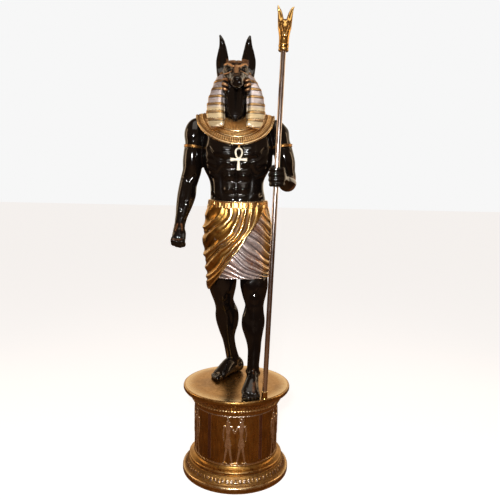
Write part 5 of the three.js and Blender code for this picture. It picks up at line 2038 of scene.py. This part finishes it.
@dataclass(frozen=True)
class Staff:
    """The steel staff with its gilt two-eared head and its ferrule, all along one leaning line."""

    radius: float = 12.5
    foot: tuple[float, float, float] = (146.0, -237.0, 0.0)
    tip: tuple[float, float, float] = (196.0, -257.0, 1700.0)
    head_start: float = 1695.0

    def leaned(self, grid: Array, along: float) -> Array:
        """Turns points drawn about the Z axis onto the staff's line, `along` millimetres up from its foot."""
        axis = unit(np.array(self.tip) - np.array(self.foot))
        side = unit(np.cross(np.array(BACK), axis))
        deep = np.cross(axis, side)
        turn = np.stack([side, deep, axis], axis=1)
        return grid @ turn.T + np.array(self.foot) + axis * along

    @staticmethod
    def turned(profile: Sequence[Row], sides: int) -> Array:
        """Rings of a turned shape about the Z axis, from radius and height."""
        radius, height = np.array(profile, float).T
        turn = np.arange(sides) / sides * TURN
        return np.stack(
            [radius[:, None] * np.cos(turn), radius[:, None] * np.sin(turn), np.repeat(height[:, None], sides, 1)], axis=-1
        )

    def build(self, finishes: Finishes) -> list[bpy.types.Object]:
        """Builds shaft, ferrule and head."""
        shaft = Shell("staff_tube")
        heights = np.linspace(12.0, self.head_start + 30.0, 60)
        shaft.limb(self.leaned(self.turned([(self.radius, z) for z in heights], 72), 0.0))
        tube = settle(shaft.publish(), Slot.SHAFT, finishes.steel)
        ferrule = Shell("staff_foot_cup")
        cup = ((0.5, 1.2), (16, 1.2), (17.6, 2.0), (18, 3.4), (17.6, 5.4), (16.2, 8), (15.2, 12), (15, 16), (15, 34), (15.8, 36), (15.9, 39), (15.2, 41.4), (14.2, 42), (13.0, 42), (12.9, 40), (12.9, 13), (0.5, 12))
        ferrule.limb(self.leaned(self.turned(Plinth.fine(cup, 1.6), 72), 0.0))
        base = ferrule.publish()
        carving = Carving(base)
        carving.points[:, 2] = np.maximum(carving.points[:, 2], 0.4)
        carving.write()
        carving.paint("relief", carving.relief(6, 0.6))
        base = settle(base, Slot.FERRULE, finishes.burnished)
        return [tube, base, self.finial(finishes)]

    def finial(self, finishes: Finishes) -> bpy.types.Object:
        """The head: a socket that widens into a small muzzle-down jackal's head with two ears spread in a V."""
        shell = Shell("staff_finial")
        socket = (
            (13.0, 30), (13.0, 0.4), (13.6, 0), (21, 0), (23, 1), (25, 5), (25, 9), (23.4, 12), (23.4, 20), (25, 23),
            (25, 27), (23.5, 31), (23.6, 50), (24.5, 66), (27, 82), (29.5, 94), (31, 106), (30, 118), (26, 130),
            (18, 140), (8, 145), (0.5, 146),
        )
        shell.limb(self.turned(Plinth.fine(socket, 2.0), 64))
        muzzle = ((0, -12, 126, 19, 14, 12), (0, -24, 108, 18, 14, 12), (0, -31, 84, 13, 10, 10), (0, -32, 64, 11, 8, 9), (0, -29, 54, 7, 4, 5))
        shell.limb(Limb(muzzle, sides=40, spacing=2.0).grid())
        for side, tip in ((-1, 35.5), (1, 40.5)):
            rows = (
                (side * 14, 0, 104, 18, 15, 15),
                (side * 19, 1, 138, 15, 12, 12),
                (side * 26, 2, 176, 10.5, 7, 8),
                (side * 33, 3, 196, 6, 4, 5),
                (side * tip, 4, 207 - 2 * side, 2.5, 2, 2),
            )
            shell.limb(Limb(rows, sides=40, spacing=2.0).grid())
        for index, points in enumerate(shell.points):
            shell.points[index] = self.leaned(points, self.head_start)
        piece = shell.publish()
        voxel_joined(piece, 1.5)
        carving = Carving(piece)
        carving.soften(2)
        carving.relax(5)
        local = []
        for width, lift, path in (
            (4, 3, ((6, -24, 128), (16, -20, 138))),
            (4, -3.5, ((9, -31, 118), (14, -27, 120))),
            (3, -2.5, ((8, -40, 66), (13, -32, 84), (20, -22, 104))),
            (6, -4, ((22, -12, 150), (30, -6, 180))),
            (3, 2, ((5, -38, 62), (6, -38, 72))),
            (3.5, 2.5, ((24, -12, 100), (28, -8, 124))),
        ):
            for side in (-1, 1):
                spots = self.leaned(np.array([(side * x, y, z) for x, y, z in path], float), self.head_start)
                local.append(Stroke(width, lift, tuple(map(tuple, spots))))
        carving.press(local)
        carving.relax(2)
        carving.paint("relief", carving.relief(16, 1.6))
        return settle(piece, Slot.HEAD, finishes.burnished)


# Studio


@dataclass(frozen=True)
class Lamp:
    """One soft studio light: its place, what it looks at, its size and its strength."""

    name: str
    place: tuple[float, float, float]
    aim: tuple[float, float, float]
    size: tuple[float, float]
    power: float
    tint: tuple[float, float, float] = (1.0, 1.0, 1.0)

    def hang(self) -> None:
        """Adds the light to the scene."""
        data = bpy.data.lights.new(self.name, "AREA")
        data.shape = "RECTANGLE"
        data.size, data.size_y = self.size
        data.energy = self.power
        data.color = self.tint
        lamp = bpy.data.objects.new(self.name, data)
        bpy.context.scene.collection.objects.link(lamp)
        way = np.array(self.aim) - np.array(self.place)
        back = -unit(way)
        side = unit(np.cross(np.array(UP), back))
        up = np.cross(back, side)
        matrix = Matrix(np.column_stack([side, up, back]).tolist()).to_4x4()
        matrix.translation = self.place
        lamp.matrix_world = matrix


@dataclass(frozen=True)
class Studio:
    """Camera, pale floor, even surroundings and lamps."""

    camera_place: tuple[float, float, float] = (0.0585, -2.681, 1.455)
    tilt: float = 84.81
    roll: float = 1.18

    LAMPS = (
        Lamp("flash", (-0.03, -2.8, 1.72), (0.0, 0.0, 1.25), (0.14, 0.1), 62.0),
        Lamp("overhead", (0.2, -1.2, 4.0), (0.0, 0.0, 1.0), (2.4, 2.0), 26.0, (1.0, 0.92, 0.82)),
        Lamp("side_left", (-2.6, 0.4, 2.0), (0.0, 0.0, 1.3), (0.5, 2.0), 13.0, (1.0, 0.68, 0.4)),
        Lamp("side_right", (2.8, 0.6, 2.0), (0.0, 0.0, 1.3), (0.5, 2.0), 13.0, (1.0, 0.68, 0.4)),
    )

    def camera(self) -> None:
        """Puts the camera where the photograph was taken from: tilted down 5.2 degrees and rolled a little."""
        data = bpy.data.cameras.new("camera")
        data.sensor_width = 36.0
        data.lens = 36.0
        data.clip_start, data.clip_end = 0.05, 900.0
        eye = bpy.data.objects.new("camera", data)
        bpy.context.scene.collection.objects.link(eye)
        turn = Matrix.Rotation(math.radians(self.tilt), 4, "X") @ Matrix.Rotation(math.radians(self.roll), 4, "Z")
        eye.matrix_world = Matrix.Translation(self.camera_place) @ turn
        bpy.context.scene.camera = eye

    @staticmethod
    def floor() -> None:
        """A plain pale floor just under the plinth."""
        mesh = bpy.data.meshes.new("floor")
        reach = 300.0
        corners = [(-reach, -reach, 0.0), (reach, -reach, 0.0), (reach, reach, 0.0), (-reach, reach, 0.0)]
        mesh.from_pydata([(x, y, -0.0005) for x, y, _ in corners], [], [(0, 1, 2, 3)])
        floor = bpy.data.objects.new("floor", mesh)
        bpy.context.scene.collection.objects.link(floor)
        bench, shader = new_material("pale_floor")
        seen = bench.add("ShaderNodeLightPath").outputs["Is Camera Ray"]
        bench.feed(shader.inputs["Base Color"], bench.mix(seen, rgb(0.22, 0.12, 0.06), rgb(0.5, 0.5, 0.5)))
        bench.feed(shader.inputs["Emission Color"], bench.mix(seen, rgb(0.0, 0.0, 0.0), rgb(0.8, 0.8, 0.8)))
        shader.inputs["Emission Strength"].default_value = 1.0
        shader.inputs["Roughness"].default_value = 0.9
        shader.inputs["Specular IOR Level"].default_value = 0.0
        mesh.materials.append(bpy.data.materials["pale_floor"])

    @staticmethod
    def surroundings() -> None:
        """Bright pale surroundings for the eye, dimmer ones for what the gloss reflects."""
        world = bpy.data.worlds.new("studio")
        bpy.context.scene.world = world
        world.use_nodes = True
        bench = Bench(world.node_tree)
        ground = next(node for node in world.node_tree.nodes if node.type == "BACKGROUND")
        seen = bench.add("ShaderNodeLightPath").outputs["Is Camera Ray"]
        way = bench.add("ShaderNodeSeparateXYZ", {0: bench.add("ShaderNodeTexCoord").outputs["Generated"]}).outputs
        behind = bench.calc("MULTIPLY", bench.ramp(way[1], 0.1, 0.85), bench.ramp(way[2], 0.75, 0.3))
        room = bench.mix(behind, rgb(0.14, 0.08, 0.045), rgb(1.05, 0.84, 0.6))
        bench.feed(ground.inputs["Color"], bench.mix(seen, room, rgb(0.93, 0.93, 0.93)))

    def build(self) -> None:
        """Sets up the whole studio."""
        self.camera()
        self.floor()
        self.surroundings()
        for lamp in self.LAMPS:
            lamp.hang()
        view = bpy.context.scene.view_settings
        view.view_transform = "Standard"


def main() -> None:
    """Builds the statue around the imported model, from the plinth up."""
    logging.basicConfig(level=logging.INFO, format="%(name)s: %(message)s")
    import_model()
    Studio().build()
    finishes = all_finishes()
    assemblies = (
        Plinth(), Legs(), Body(), JackalHead(), Headdress(), Collar(), Pendant(), Armlets(), Kilt(), Belt(), Staff(),
    )
    for assembly in assemblies:
        assembly.build(finishes)
        log.info("built %s", type(assembly).__name__)
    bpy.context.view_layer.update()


if __name__ == "__main__":
    main()
